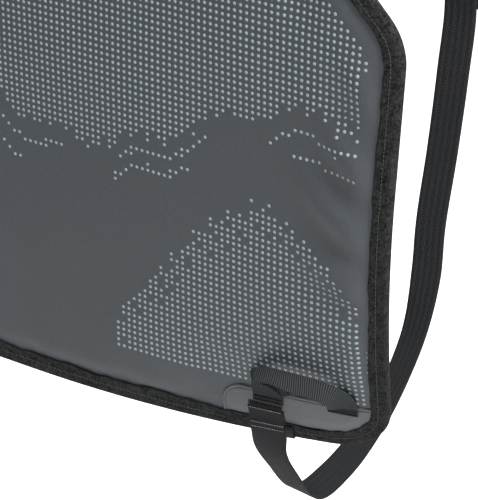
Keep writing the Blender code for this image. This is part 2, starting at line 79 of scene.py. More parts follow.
SHOULDER_V = FOOT_V - SHOULDER_RISE
NECK_V = SHOULDER_V - (SHOULDER_HALF - NECK_HALF) * math.tan(SHOULDER_SLOPE)

# The grids of cover and lining, and the cloth trial
SHEET_INSET = 0.0015
COVER_STEP = 0.0055
CLOTH_COLUMNS = 71
CLOTH_FRAMES = 20

# Layers at the tape, where the edge is pinched, and where on its leaf the stitches run
EDGE_HALF = 0.0029
COVER = 0.0010
LINING = 0.0012
TAPE_SEAT = 0.0010
TAPE = 0.0009
NOSE = 0.0030
NOSE_OUT = 0.0036
LEAF = 0.0112
FOOT_LEAF = 0.0145
STITCH_LINE = 0.46

# How the tape's edge wavers: height, radians a metre and phase
TAPE_WAVER = ((0.00035, 71, 0), (0.00025, 163, 1), (0.0002, 337, 2), (0.0003, 29, 0.5))

# Print: the dots' lattice, the wave's line and where the hills begin
DOTS_EACH_WAY = 66
DOT_ROWS = 86
FIRST_ROW = 0.1526
WAVE_MIDDLE = 0.325
WAVE_HEIGHT = 0.035
WAVE_LENGTH = 0.44
HILL_INNER = 0.105

# Weaves: threads under the coating, and one turn of the straps' slanting ribs
THREAD_PITCH = 0.0011
CHEVRON = 0.006

# Corner patches, handles and straps
PATCH = 0.0008
PATCH_REACH = 0.134
PATCH_HEIGHTS = (0.0465, 0.049)
PATCH_CORNER = 0.021
PATCH_UNDER = 0.001
HANDLE_RIGHT = 0.311
HANDLE_LEFT = 0.225
HANDLE_WIDTH = 0.024
HANDLE_TACK_RISE = 0.029
WEBBING = 0.0016
STRAP_X = 0.234
STRAP_WIDTH = 0.030
STRAP_LAP = 0.027
STRAP_SAG = 0.0965
STAY_WIDTH = 0.006
STAY_LAP = 0.009
BUCKLE_DROP = 0.034
BUCKLE_LEAN = math.radians(11.5)
BUCKLE_BAR = 0.004
BUCKLE_SLOT = 0.0065
BUCKLE_RIM = 0.004
BUCKLE_PITCH = BUCKLE_BAR + BUCKLE_SLOT
TAB_LAP = 0.022
TAIL = 0.030
SEAT = 0.0003
WRAP = BUCKLE_BAR / math.sqrt(2) + SEAT + WEBBING / 2
FRAME_STRAP_X = 0.150
FRAME_STRAP_WIDTH = 0.038
FRAME_STRAP_HALF = 0.075
BASE_LENGTH = 0.110
BASE_WIDTH = 0.060
RING_WIRE = 0.0038
RING_LENGTH = 0.024
ANCHOR_LENGTH = 0.040
TACK_LEAN = 0.0005

# Slow swells of the cover: turn in degrees, length, phase in radians and height
SWELLS = (
    (20, 0.210, 0.3, 0.00042),
    (-48, 0.165, 1.9, 0.00036),
    (73, 0.120, 4.1, 0.00026),
    (-12, 0.087, 2.6, 0.00016),
    (130, 0.058, 0.9, 0.00009),
)

# Soft creases in the cover: x and v of the middle, turn in degrees, half length, half width, height
CREASES = (
    (0.322, 0.262, 42, 0.026, 0.0095, 0.0034),
    (0.318, 0.292, 35, 0.03, 0.0106, -0.0019),
    (0.31, 0.318, 38, 0.034, 0.0095, 0.0046),
    (0.306, 0.345, 38, 0.04, 0.0112, -0.0026),
    (0.304, 0.368, 34, 0.042, 0.0112, 0.0055),
    (0.312, 0.394, 28, 0.03, 0.0095, -0.0018),
    (0.306, 0.417, 24, 0.036, 0.0106, 0.0038),
    (0.3, 0.44, 20, 0.04, 0.0118, -0.002),
    (0.314, 0.47, 12, 0.028, 0.009, 0.0014),
    (-0.316, 0.31, -32, 0.034, 0.0106, 0.0042),
    (-0.31, 0.345, -36, 0.038, 0.0112, -0.0023),
    (-0.306, 0.376, -34, 0.036, 0.0106, 0.0046),
    (-0.312, 0.436, -22, 0.034, 0.0112, -0.0018),
    (0.236, 0.078, 80, 0.024, 0.009, 0.0014),
    (0.18, 0.092, 84, 0.022, 0.01, -0.001),
    (-0.236, 0.084, -80, 0.024, 0.009, 0.0014),
    (0.08, 0.56, 82, 0.016, 0.008, 0.001),
    (-0.1, 0.556, -84, 0.016, 0.009, 0.001),
    (0.15, -0.27, 70, 0.018, 0.012, 0.0006),
    (-0.13, -0.268, -74, 0.018, 0.012, 0.0006),
)

# Both edges of a corner handle, in mm from the middle of the pad, up from its tacks and out
HANDLE_ROUTE = (
    (225, -6, 0, 250, -6, 0),
    (225, 1, 0, 250, -1, 0),
    (225, 9, 0.2, 249.5, 4, 0.3),
    (225, 16, 0.4, 245.5, 9, 1),
    (225.2, 20.5, 0.7, 240.5, 12.5, 2.5),
    (225.8, 23.8, 1, 236.5, 17, 6),
    (227.2, 26.5, 1.3, 234.5, 24, 12),
    (229.4, 28.6, 1.7, 236.2, 30.7, 18.2),
    (232.1, 29.9, 1.7, 238.3, 33.3, 21.4),
    (236.4, 31.5, 1.7, 241.5, 34.7, 21.8),
    (241.5, 32.6, 1.7, 247.2, 35.9, 21.6),
    (248.2, 33.5, 1.7, 253, 36.6, 21.8),
    (256.6, 34.1, 1.7, 262.5, 35, 21.8),
    (265.7, 34.5, 1.7, 271.8, 33.5, 21.6),
    (274.7, 34.5, 1.7, 280.4, 33, 21.6),
    (282.7, 33.7, 1.7, 287.4, 32.5, 22),
    (289.9, 32.5, 1.7, 292.5, 30.8, 21.8),
    (296.1, 30.3, 1.5, 294.8, 27, 20),
    (302.2, 27.2, 1.2, 293.6, 21, 16),
    (307.2, 22.6, 0.9, 291, 12.5, 9),
    (310.4, 16, 0.5, 288.5, 6, 4),
    (311.2, 8, 0.1, 287.5, 1.8, 0.6),
    (311, -1, 0, 287, -1, 0),
)

# Both edges of a near-black scrap set behind each handle's leg as painted shade for the dark gap there,
# shaped as the webbing's turned-in end: x and v, in mm
SHADE_TUCK_ROUTE = ((233, 536, 241, 547), (244, 534.5, 250, 543.5), (254, 535.5, 256, 541))

# A strap stay's path round the tape as distance past the foot and height, in mm
STAY_ROUTE = (
    (-11.5, 5.6),
    (-10.2, 6.9),
    (-7.4, 7.7),
    (-3.6, 7.6),
    (-0.2, 6.4),
    (1.8, 4.1),
    (2.6, 0.8),
    (2.4, -3.0),
    (0.6, -5.3),
    (-2.7, -6.0),
    (-STAY_LAP * 1000, -5.9),
)

# A tailgate strap's hanging loop: share of the way to the buckle, height as a share of the sag or
# of the rise, sideways shift in mm and twist in radians
STRAP_ROUTE = (
    (0.021, -0.189, -2.7, -0.07),
    (0.080, -0.518, 0.1, 0.04),
    (0.178, -0.905, 2.3, 0.10),
    (0.366, -1.032, 0.2, -0.02),
    (0.560, -0.895, 1.0, -0.28),
    (0.704, -0.619, 1.9, -0.37),
    (0.814, -0.309, 0.5, -0.32),
    (0.875, 0.083, 0.1, -0.07),
    (0.893, 0.240, -1.0, -0.08),
    (0.940, 0.500, -0.5, -0.01),
    (0.980, 0.760, -0.5, 0.03),
)

# The tail below the buckle's middle bar, as (towards the panel, up)
TAIL_ROUTE = [(-WRAP, -k) for k in np.linspace(BUCKLE_PITCH, BUCKLE_PITCH + TAIL, 8)]

# The studio: lights as name, place, size and watts, then the camera's place, turns and lens
LIGHTS = (
    ("overhead", (0.0, 1.0, 3.6), 5.5, 180),
    ("key", (1.8, -0.55, 1.9), 0.9, 200),
    ("fill", (0.9, -2.8, 0.7), 2.0, 28),
)
LIT_POINT = (0.0, -0.05, -0.25)
WORLD_STRENGTH = 0.40
FLOOR_LEVEL = -1.1
FLOOR_HALF = 30.0
CAMERA_PLACE = (0.9939, -1.34775, 0.4589)
CAMERA_TURNS = (31.76, 28.5, 0.43)
CAMERA_LENS = 160.47


def smooth(t):
    """0 below 0, 1 above 1 and 3t^2 - 2t^3 between."""
    t = np.clip(t, 0, 1)
    return t * t * (3 - 2 * t)


def drape(x, v, lift):
    """The place of a pattern point.

    The foot bows by the fourth power of x. What lies past a line askew across each foot corner is
    rolled over a cylinder. The strip is then laid along the section: a straight panel, an arc, the
    flat top, an arc and a straight flap. The lift goes out along the normal of all this.
    """
    x, v, lift = np.broadcast_arrays(*(np.asarray(a, float) for a in (x, v, lift)))
    side = np.sign(x)
    low = np.clip((v - TOP_FLAT) / (FOOT_V - TOP_FLAT), 0, 1)
    v = v + FOOT_BOW * low * (x / FOOT_HALF) ** 4
    sin, cos = math.sin(ROLL_TURN), math.cos(ROLL_TURN)
    past = np.maximum((abs(x) - FOOT_HALF) * sin + (v - FOOT_V) * cos + ROLL_REACH, 0)
    roll = past / ROLL_RADIUS
    pulled = past - ROLL_RADIUS * np.sin(roll)
    x, v = x - side * pulled * sin, v - pulled * cos
    front = np.clip((v - TOP_FLAT / 2) / FRONT_BEND, 0, math.pi / 2)
    back = np.clip((-v - TOP_FLAT / 2) / BACK_BEND, 0, FLAP_LEAN)
    hanging = np.maximum(v - TOP_FLAT / 2 - FRONT_BEND * math.pi / 2, 0)
    leaning = np.maximum(-v - TOP_FLAT / 2 - BACK_BEND * FLAP_LEAN, 0)
    y = -np.clip(v, -TOP_FLAT / 2, TOP_FLAT / 2) - FRONT_BEND * np.sin(front) + BACK_BEND * np.sin(back)
    y += leaning * math.cos(FLAP_LEAN) + ROLL_RADIUS * (1 - np.cos(roll))
    z = HALF - FRONT_BEND * (1 - np.cos(front)) - BACK_BEND * (1 - np.cos(back))
    z -= hanging + leaning * math.sin(FLAP_LEAN)
    out_x = side * np.sin(roll) * sin
    out_y = (np.sin(back) - np.sin(front)) * np.cos(roll)
    out_z = np.cos(front) * np.cos(back) * np.cos(roll) - np.sin(roll) * cos
    return np.stack([x + out_x * lift, y + out_y * lift, z + out_z * lift], axis=-1)


def facing(x, v):
    """The outward normal of the draped pattern: how a point moves as its lift grows."""
    return drape(x, v, 1.0) - drape(x, v, 0.0)


def unit(vectors):
    """Vectors of length 1 in the same directions."""
    return vectors / np.maximum(np.linalg.norm(vectors, axis=-1, keepdims=True), 1e-12)


def flowing(points, count):
    """count points at even steps along a Hermite curve whose slopes are central differences."""
    points = np.asarray(points, float)
    along = np.concatenate([[0], np.cumsum(np.linalg.norm(np.diff(points, axis=0), axis=1))])
    slope = np.gradient(points, along, axis=0)
    at = np.linspace(0, along[-1], count)
    i = np.clip(np.searchsorted(along, at, side="right") - 1, 0, len(points) - 2)
    step = (along[i + 1] - along[i])[:, None]
    t = (at - along[i])[:, None] / step
    start = (1 + 2 * t) * (1 - t) ** 2 * points[i] + t * (1 - t) ** 2 * step * slope[i]
    end = t * t * (3 - 2 * t) * points[i + 1] - t * t * (1 - t) * step * slope[i + 1]
    return start + end


def arc(centre, radius, first, last, steps=16):
    """Points on an arc in a plane, angles in turns of pi from the plane's first axis."""
    angles = math.pi * np.linspace(first, last, steps + 1)
    return np.array(centre) + radius * np.stack([np.cos(angles), np.sin(angles)], axis=-1)


def rounded(corners, radii, steps):
    """A path with its inner corners rounded: its points and their outward normals."""
    corners = np.asarray(corners, float)
    points, normals = [], []
    for before, here, after, radius in zip(corners, corners[1:], corners[2:], radii):
        into, away = unit(here - before), unit(after - here)
        turn = math.atan2(into[0] * away[1] - into[1] * away[0], into @ away)
        first = math.atan2(-into[0], into[1])
        angles = first + turn * np.linspace(0, 1, steps + 1)
        normal = np.stack([np.cos(angles), np.sin(angles)], axis=-1)
        bulge = math.copysign(radius, turn)
        centre = here - into * radius * abs(math.tan(turn / 2)) - normal[0] * bulge
        points.append(centre + normal * bulge)
        normals.append(normal)
    return np.concatenate(points), np.concatenate(normals)


def half_outline(steps=12):
    """The right half of the outline from the flap's end to the foot, with outward normals."""
    corners = [
        (0, FLAP_V),
        (NECK_HALF, FLAP_V),
        (NECK_HALF, NECK_V),
        (SHOULDER_HALF, SHOULDER_V),
        (FOOT_HALF, FOOT_V),
        (0, FOOT_V),
    ]
    points, normals = rounded(corners, CORNERS, steps)
    points = np.concatenate([[(0, FLAP_V)], points, [(0, FOOT_V)]])
    return points, np.concatenate([[(0, -1)], normals, [(0, 1)]])


def stepped(points, others, pitch):
    """A polyline taken again at even steps of about pitch, and what goes with its points."""
    along = np.concatenate([[0], np.cumsum(np.linalg.norm(np.diff(points, axis=0), axis=1))])
    at = np.linspace(0, along[-1], max(2, round(along[-1] / pitch) + 1))
    taken = []
    for each in (points, others):
        taken.append(np.stack([np.interp(at, along, column) for column in each.T], axis=-1))
    return taken[0], taken[1], at


def even(points, pitch):
    """A polyline taken again at even steps of about pitch."""
    return stepped(points, points, pitch)[0]


def rounded_box(half_x, half_y, radius):
    """A closed rectangle with round corners, as a path from its lower right one."""
    corners = np.array([(0, -1), (1, -1), (1, 1), (-1, 1), (-1, -1), (0, -1)])
    path, _ = rounded(corners * (half_x, half_y), [radius] * 4, 6)
    return np.concatenate([path, path[:1]])


def outline_loop(pitch):
    """The whole outline once round, first point repeated last, with normals and lengths along it."""
    points, normals = half_outline()
    points = np.concatenate([points, (points * (-1, 1))[-2::-1]])
    normals = np.concatenate([normals, (normals * (-1, 1))[-2::-1]])
    points, normals, at = stepped(points, normals, pitch)
    return points, unit(normals), at


def inset(x, v):
    """How far inside the outline a pattern point is: its distance to the nearest outline segment."""
    points = even(half_outline()[0], 0.006)
    start, run = points[:-1], np.diff(points, axis=0)
    where = np.stack([abs(np.asarray(x, float)), np.asarray(v, float)], axis=-1)
    flat = where.reshape(-1, 2)
    nearest = np.full(len(flat), 9.0)
    for part in np.array_split(np.arange(len(start)), 16):
        gap = flat[:, None] - start[part]
        share = np.clip((gap * run[part]).sum(-1) / (run[part] ** 2).sum(-1), 0, 1)
        off = np.linalg.norm(gap - share[..., None] * run[part], axis=-1)
        nearest = np.minimum(nearest, off.min(axis=1))
    return nearest.reshape(where.shape[:-1])


def leaf(out):
    """How far in from the outline the tape reaches for each outward normal."""
    return LEAF + (FOOT_LEAF - LEAF) * np.maximum(out[..., 1:], 0) ** 2


def leaf_at(v):
    """The same from a place on the pattern, for what lies beside the tape."""
    return LEAF + (FOOT_LEAF - LEAF) * smooth((np.asarray(v) - FOOT_V + 0.05) / 0.035)


def half_width(v, gap):
    """Half the pattern's width at v inside the tape, less a gap."""
    at, out = half_outline()
    inner = at - out * (gap + leaf(out))
    return np.interp(v, inner[:, 1], inner[:, 0])


def rolling(x, v):
    """Slow swells over the whole cover: sums of sines with unrelated lengths and turns."""
    total = 0
    for turn, length, phase, height in SWELLS:
        angle = math.radians(turn)
        along = x * math.cos(angle) + v * math.sin(angle)
        total = total + height * np.sin(along * 2 * math.pi / length + phase)
    return total


def creases(x, v):
    """Each crease is a bell across its line that dies away along it."""
    total = np.zeros(np.broadcast(x, v).shape)
    for x0, v0, turn, length, width, height in CREASES:
        angle = math.radians(turn)
        along = (x - x0) * math.cos(angle) + (v - v0) * math.sin(angle)
        across = (v - v0) * math.cos(angle) - (x - x0) * math.sin(angle)
        across = across + 0.12 * along**2 / length
        total += height * np.exp(-((across / width) ** 2) - (along / length) ** 2)
    return total


def quads(rows, cols):
    """Corner numbers of the faces of a grid. They face out where columns turned to rows do."""
    corner = np.arange(rows * cols).reshape(rows, cols)
    faces = [corner[:-1, :-1], corner[:-1, 1:], corner[1:, 1:], corner[1:, :-1]]
    return np.stack(faces, axis=-1).reshape(-1, 4)


def lengths(points):
    """Distance along each grid's two directions, in metres, as pattern coordinates."""
    along = np.linalg.norm(np.diff(points, axis=0), axis=-1).mean(axis=1)
    across = np.linalg.norm(np.diff(points, axis=1), axis=-1).mean(axis=0)
    along, across = (np.concatenate([[0], np.cumsum(a)]) for a in (along, across))
    return np.stack(np.meshgrid(across, along), axis=-1)


def piece(name, points, faces, pattern, finish, slot, nodes=(), wall=0.0, closed=False):
    """A finished piece from its points, faces and pattern coordinates.

    Doubles are merged, so that seams and poles are closed. wall is a thickness away from the side
    that the faces are seen from.
    """
    points = np.asarray(points, float).reshape(-1, 3)
    mesh = bpy.data.meshes.new(name)
    mesh.from_pydata(points.tolist(), [], faces.tolist())
    layer = mesh.uv_layers.new(name="Pattern")
    layer.data.foreach_set("uv", np.asarray(pattern, float).reshape(-1, 2)[faces.ravel()].ravel())
    form = bmesh.new()
    form.from_mesh(mesh)
    bmesh.ops.remove_doubles(form, verts=form.verts, dist=2e-6)
    if closed:
        bmesh.ops.recalc_face_normals(form, faces=form.faces)
    form.to_mesh(mesh)
    form.free()
    mesh.shade_smooth()
    mesh.materials.append(finish)
    made = bpy.data.objects.new(name, mesh)
    bpy.context.scene.collection.objects.link(made)
    if wall:
        solid = made.modifiers.new("Thickness", "SOLIDIFY")
        solid.thickness = wall
        solid.offset = -1
    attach(made, "root")
    if nodes:
        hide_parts(*nodes)
    return made


def grid_piece(name, points, finish, slot, nodes=(), pattern=None, **more):
    """A piece from rows of points."""
    pattern = lengths(points) if pattern is None else pattern
    return piece(name, points, quads(*points.shape[:2]), pattern, finish, slot, nodes, **more)


def copies(shape, faces, centres, along, out):
    """A small shape set at each centre, its x along one direction and its z out."""
    side = np.cross(out, along)
    axes = np.stack([along, side, out], axis=1)
    points = np.einsum("mi,kij->kmj", shape, axes) + centres[:, None]
    steps = np.arange(len(centres))[:, None, None] * len(shape)
    return points, (faces[None] + steps).reshape(-1, faces.shape[1])


def thread_shape(length, radius):
    """One stitch: a tube of six sides whose radius is an ellipse along it and which bows outwards."""
    t = np.sin(np.linspace(-math.pi / 2, math.pi / 2, 6))[:, None]
    angle = np.linspace(0, 2 * math.pi, 7)[None]
    thick = radius * np.sqrt(1 - t**4 + 1e-12)
    x = length / 2 * t + 0 * angle
    y = thick * np.cos(angle)
    z = radius * (0.9 - 1.5 * t**4) + thick * np.sin(angle)
    return np.stack([x, y, z], axis=-1).reshape(-1, 3), quads(6, 7)


def threads(name, centres, along, out, length, radius, finish):
    """Many stitches in one piece."""
    shape, faces = thread_shape(length, radius)
    points, faces = copies(shape, faces, centres, unit(along), unit(out))
    pattern = np.tile(shape[:, :2], (len(centres), 1))
    return piece(name, points, faces, pattern, finish, "webbing", closed=True)


def seam(x, v, pitch, lift):
    """Where stitches fall along a line on the pattern: centres, directions and normals."""
    steps = even(np.stack([x, v, lift], axis=-1), pitch)
    at = drape(*steps.T)
    return (at[1:] + at[:-1]) / 2, np.diff(at, axis=0), facing(steps[1:, 0], steps[1:, 1])


def zigzag(x, v, ends, lifts, first=0):
    """A close zigzag along a row: stitches between two distances down from v that lean in turn."""
    lean = np.where((np.arange(len(x)) + first) % 2, TACK_LEAN, -TACK_LEAN)
    top = drape(x + lean, v + ends[0], lifts[0])
    foot = drape(x - lean, v + ends[1], lifts[1])
    return (top + foot) / 2, top - foot, facing(x, v)


def band(name, edge_a, edge_b, thickness, finish, slot, nodes=(), nap=0.0):
    """Webbing between two edges: a flat section with round sides, carried along and closed at its ends.

    nap is the height of a slow twist to and fro: a sine of the distance along it, odd across it.
    """
    inner = np.linspace(0.035, 0.965, 9)
    across = np.concatenate([inner, [0.99, 1.0, 0.99], inner[::-1], [0.01, 0.0, 0.01, inner[0]]])
    height = np.concatenate([np.ones(9), [0.7, 0, -0.7], -np.ones(9), [-0.7, 0, 0.7, 1]]) * thickness / 2
    edge_a, edge_b = (np.concatenate([e[:1], e, e[-1:]]) for e in (edge_a, edge_b))
    middle = (edge_a + edge_b) / 2
    run = np.gradient(middle, axis=0)
    run[0], run[-1] = middle[2] - middle[0], middle[-1] - middle[-3]
    up = unit(np.cross(run, edge_b - edge_a))[:, None]
    full = np.ones(len(middle))
    full[[0, -1]] = 0
    points = edge_a[:, None] * (1 - across[:, None]) + edge_b[:, None] * across[:, None]
    along = np.concatenate([[0], np.cumsum(np.linalg.norm(np.diff(middle, axis=0), axis=1))])
    stand = (full[:, None] * height)[..., None]
    if nap:
        stand = stand + nap * np.sin(along / 0.031)[:, None, None] * (2 * across - 1)[None, :, None]
    points = points + up * stand
    wide = np.linalg.norm(edge_b - edge_a, axis=1)[:, None] * across
    pattern = np.stack([np.broadcast_to(along[:, None], wide.shape), wide], axis=-1)
    return piece(name, points, quads(*points.shape[:2]), pattern, finish, slot, nodes, closed=True)


def squared(size, power):
    """A squared circle: a cosine and a sine raised to a power with their signs kept."""
    angle = np.linspace(0, 2 * math.pi, 17)
    cos, sin = np.cos(angle), np.sin(angle)
    return size / 2 * np.sign(cos) * abs(cos) ** power, size / 2 * np.sign(sin) * abs(sin) ** power


def tube(path, size, out, power):
    """The points of a bar carried round a flat closed path: a squared circle that stands along out."""
    flat, tall = squared(size, power)
    run = unit(np.roll(path, -1, axis=0) - np.roll(path, 1, axis=0))
    side = np.cross(run, out)
    points = path[:, None] + side[:, None] * flat[:, None] + np.asarray(out) * tall[:, None]
    return np.concatenate([points, points[:1]])


def word(side):
    """The side's name: the right one lies towards +X."""
    return "right" if side > 0 else "left"


class Value:
    """A shader socket that takes part in arithmetic: each sign adds a Math node."""

    def __init__(self, finish, socket):
        self.finish = finish
        self.socket = socket

    def math(self, operation, *others):
        """The result of a Math node on this value and the others."""
        node = self.finish.node("ShaderNodeMath", {"operation": operation}, self, *others)
        return Value(self.finish, node.outputs[0])

    def __add__(self, other):
        return self.math("ADD", other)

    def __mul__(self, other):
        return self.math("MULTIPLY", other)

    def __sub__(self, other):
        return self.math("SUBTRACT", other)

    def sine(self):
        """Its sine."""
        return self.math("SINE")

    def absolute(self):
        """Its size without its sign."""
        return self.math("ABSOLUTE")

    def between(self, low, high):
        """0 at low, 1 at high and a smooth step between."""
        node = self.finish.node(
            "ShaderNodeMapRange", {"interpolation_type": "SMOOTHSTEP"}, self, low, high, 0.0, 1.0
        )
        return Value(self.finish, node.outputs[0])


class Finish:
    """One material: a Principled shader and the nodes that feed it."""

    def __init__(self, name, roughness=0.6, metallic=0.0, **fixed):
        self.material = bpy.data.materials.new(name)
        self.material.use_nodes = True
        self.tree = self.material.node_tree
        self.shader = self.tree.nodes["Principled BSDF"]
        self.shader.inputs["Roughness"].default_value = roughness
        self.shader.inputs["Metallic"].default_value = metallic
        names = {"specular": "Specular IOR Level", "sheen": "Sheen Weight"}
        for socket, value in fixed.items():
            self.shader.inputs[names[socket]].default_value = value

    def node(self, kind, settings, *inputs):
        """A node of that type with its settings and the values or links of its sockets in order."""
        made = self.tree.nodes.new(kind)
        for key, value in settings.items():
            setattr(made, key, value)
        for socket, value in zip(made.inputs, inputs):
            self.put(socket, value)
        return made

    def put(self, socket, value):
        """Links a value to a socket, or sets the socket to a number."""
        if isinstance(value, Value):
            self.tree.links.new(value.socket, socket)
        else:
            socket.default_value = value

    def place(self):
        """Object coordinates, which stay with the surface."""
        return Value(self, self.node("ShaderNodeTexCoord", {}).outputs["Object"])

    def pattern(self):
        """The piece's own pattern coordinates in metres, as two values."""
        uv = self.node("ShaderNodeUVMap", {"uv_map": "Pattern"}).outputs[0]
        parts = self.node("ShaderNodeSeparateXYZ", {}, Value(self, uv)).outputs
        return Value(self, parts[0]), Value(self, parts[1])

    def noise(self, scale, detail=2.0, roughness=0.5):
        """Noise between 0 and 1 in the piece's own space, scale in waves a metre."""
        made = self.node("ShaderNodeTexNoise", {"noise_dimensions": "3D"})
        self.put(made.inputs["Vector"], self.place())
        for socket, value in (("Scale", scale), ("Detail", detail), ("Roughness", roughness)):
            made.inputs[socket].default_value = value
        return Value(self, made.outputs[0])

    def colour(self, low, high, share):
        """A mix of two colours that feeds the base colour."""
        mix = self.node("ShaderNodeMix", {"data_type": "RGBA"})
        self.put(mix.inputs[0], share)
        mix.inputs[6].default_value = (*low, 1)
        mix.inputs[7].default_value = (*high, 1)
        self.tree.links.new(mix.outputs[2], self.shader.inputs["Base Color"])

    def rough(self, value):
        """Roughness that changes over the surface."""
        self.put(self.shader.inputs["Roughness"], value)

    def bump(self, height, distance):
        """A height between 0 and 1 that stands for a relief of that distance."""
        made = self.node("ShaderNodeBump", {})
        made.inputs["Distance"].default_value = distance
        self.put(made.inputs["Height"], height)
        self.tree.links.new(made.outputs[0], self.shader.inputs["Normal"])


def shades(colour, spread):
    """A darker and a lighter version of a colour."""
    return [tuple(min(1.0, c * k) for c in colour) for k in (1 - spread, 1 + spread)]


def waves(value, pitch):
    """A sine of a distance, one wave for each pitch."""
    return (value * (2 * math.pi / pitch)).sine()


def ribbed(value, pitch):
    """The same between 0 and 1."""
    return waves(value, pitch) * 0.5 + 0.5


def coated(name, colour, roughness):
    """Coated fabric: fine grain in the coating, faint threads below it and slow changes of gloss."""
    finish = Finish(name, roughness, specular=0.36)
    grain = finish.noise(520, 4, 0.75)
    cloud = finish.noise(14, 3, 0.55)
    x, v = finish.pattern()
    weave = waves(x, THREAD_PITCH) * waves(v, THREAD_PITCH)
    finish.colour(*shades(colour, 0.30), cloud * 0.4 + grain.between(0.3, 0.7) * 0.6)
    finish.rough(cloud * 0.22 + grain * 0.08 + (roughness - 0.15))
    finish.bump(grain * 0.8 + weave * 0.12, 0.00014)
    return finish.material


def inked(name, colour):
    """Screen-print ink: a little uneven, with the coating's grain showing through."""
    finish = Finish(name, 0.55, specular=0.4)
    finish.colour(*shades(colour, 0.10), finish.noise(700, 2))
    finish.bump(finish.noise(1500, 3, 0.6), 0.00007)
    return finish.material


def taped(name, colour):
    """Brushed binding tape: fine threads along it, short fuzz and small light specks."""
    finish = Finish(name, 0.92, specular=0.08)
    _, v = finish.pattern()
    ribs = ribbed(v, 0.0013)
    fuzz = finish.noise(480, 3, 0.8)
    patches = finish.noise(170, 3, 0.75)
    lint = finish.noise(420, 2, 0.7).between(0.60, 0.68)
    share = fuzz.between(0.36, 0.64) * 0.5 + patches.between(0.38, 0.64) * 0.35 + lint * 0.55
    finish.colour(*shades(colour, 0.88), share)
    finish.bump(fuzz * 0.9 + ribs * 0.3 + patches * 0.8, 0.0008)
    return finish.material


def woven(name, colour, pitch, spread=0.5):
    """Flat webbing: ribs across it that slant one way and back, each split into threads, coloured lighter
    on the ribs as painted highlight and darker between as painted shade.
    """
    finish = Finish(name, 0.78, specular=0.10)
    x, v = finish.pattern()
    slant = ((v * (1 / CHEVRON)).math("FRACT") - 0.5).absolute() * CHEVRON * 1.6
    ribs = ribbed(x + slant, pitch)
    cords = ribbed(v, pitch * 0.62)
    fuzz = finish.noise(1100, 2, 0.6)
    height = ribs * 0.65 + cords * 0.25 + fuzz * 0.25
    # Colour follows the relief: painted highlight on the ribs and cords, painted shade between them, with
    # random fuzz tone.
    finish.colour(*shades(colour, spread), height.between(0.3, 0.9))
    finish.bump(height, 0.0009)
    return finish.material


def basket(name, colour, pitch):
    """Ribbed webbing: raised dots in staggered rows, coloured lighter on top as painted highlight and
    darker between as painted shade.
    """
    finish = Finish(name, 0.8, specular=0.12)
    x, v = finish.pattern()
    slip = (v * (0.5 / pitch)).sine() * (pitch * 0.12)
    ribs = ribbed(x + slip, pitch)
    cords = ribbed(v, pitch * 1.25)
    fuzz = finish.noise(1200, 2, 0.6)
    height = ribs * 0.6 + ribs * cords * 0.35 + fuzz * 0.25
    # Colour follows the relief: painted highlight on the raised dots, painted shade between them, with
    # random fuzz tone.
    finish.colour(*shades(colour, 0.75), height.between(0.3, 1.0))
    finish.bump(height, 0.0006)
    return finish.material


def brushed_fleece(name, colour):
    """Brushed fleece: matt tufts."""
    finish = Finish(name, 0.95, sheen=0.15, specular=0.1)
    tuft = finish.noise(420, 4, 0.7)
    finish.colour(*shades(colour, 0.3), tuft)
    finish.bump(tuft, 0.0008)
    return finish.material


def open_foam(name, colour):
    """Cut foam: small open cells."""
    finish = Finish(name, 0.95)
    cells = finish.noise(900, 3, 0.6)
    finish.colour(*shades(colour, 0.25), cells)
    finish.bump(cells, 0.0004)
    return finish.material


def moulded(name, colour):
    """Moulded plastic: fine spark-eroded grain."""
    finish = Finish(name, 0.42, specular=0.5)
    grain = finish.noise(1800, 2, 0.5)
    finish.colour(*shades(colour, 0.12), grain)
    finish.rough(grain * 0.2 + 0.35)
    finish.bump(grain, 0.00006)
    return finish.material


def plated(name, colour):
    """Nickel-plated wire with faint drawing marks."""
    finish = Finish(name, 0.3, metallic=1.0)
    marks = finish.noise(300, 4, 0.6)
    finish.colour(*shades(colour, 0.12), marks)
    finish.rough(marks * 0.25 + 0.18)
    finish.bump(marks, 0.00003)
    return finish.material


def thread_finish(name, colour):
    """Twisted thread."""
    finish = Finish(name, 0.7, specular=0.15)
    twist = finish.noise(1600, 2)
    finish.colour(*shades(colour, 0.35), twist)
    finish.bump(twist, 0.00008)
    return finish.material


FINISHES = {}


def finishes():
    """The finishes, made once from the colours in the panel."""
    if not FINISHES:
        c = bpy.context.scene.bike_pad_colours
        FINISHES["cover"] = coated("coated tarpaulin", c.cover, 0.56)
        FINISHES["patch"] = coated("patch tarpaulin", c.patch, 0.50)
        FINISHES["ink"] = inked("print ink", c.ink)
        FINISHES["tape"] = taped("binding tape", c.tape)
        FINISHES["strap"] = woven("strap webbing", c.strap, 0.0021, 0.7)
        FINISHES["handle"] = basket("handle webbing", c.handle, 0.00175)
        FINISHES["stay"] = woven("stay webbing", c.handle, 0.0016)
        FINISHES["lining"] = brushed_fleece("lining fleece", c.lining)
        FINISHES["foam"] = open_foam("foam", c.foam)
        FINISHES["plastic"] = moulded("buckle plastic", c.plastic)
        FINISHES["steel"] = plated("ring steel", c.steel)
        FINISHES["thread"] = thread_finish("tape thread", c.thread)
        FINISHES["tack"] = thread_finish("tack thread", c.tack)
        FINISHES["pale_thread"] = thread_finish("pale thread", c.pale_thread)
    return FINISHES


def grid_rows(gap, pitch):
    """Rows of the pattern inside an inset edge: v of each and its half width, close at the corners."""
    at, out = half_outline(9)
    inner = (at - out * gap)[1:-1]
    fill = np.arange(inner[0, 1] + pitch, inner[-1, 1], pitch)
    clear = fill[abs(fill[:, None] - inner[:, 1]).min(axis=1) > pitch * 0.4]
    rows = np.sort(np.concatenate([inner[:, 1], clear]))
    return rows, np.interp(rows, inner[:, 1], inner[:, 0])


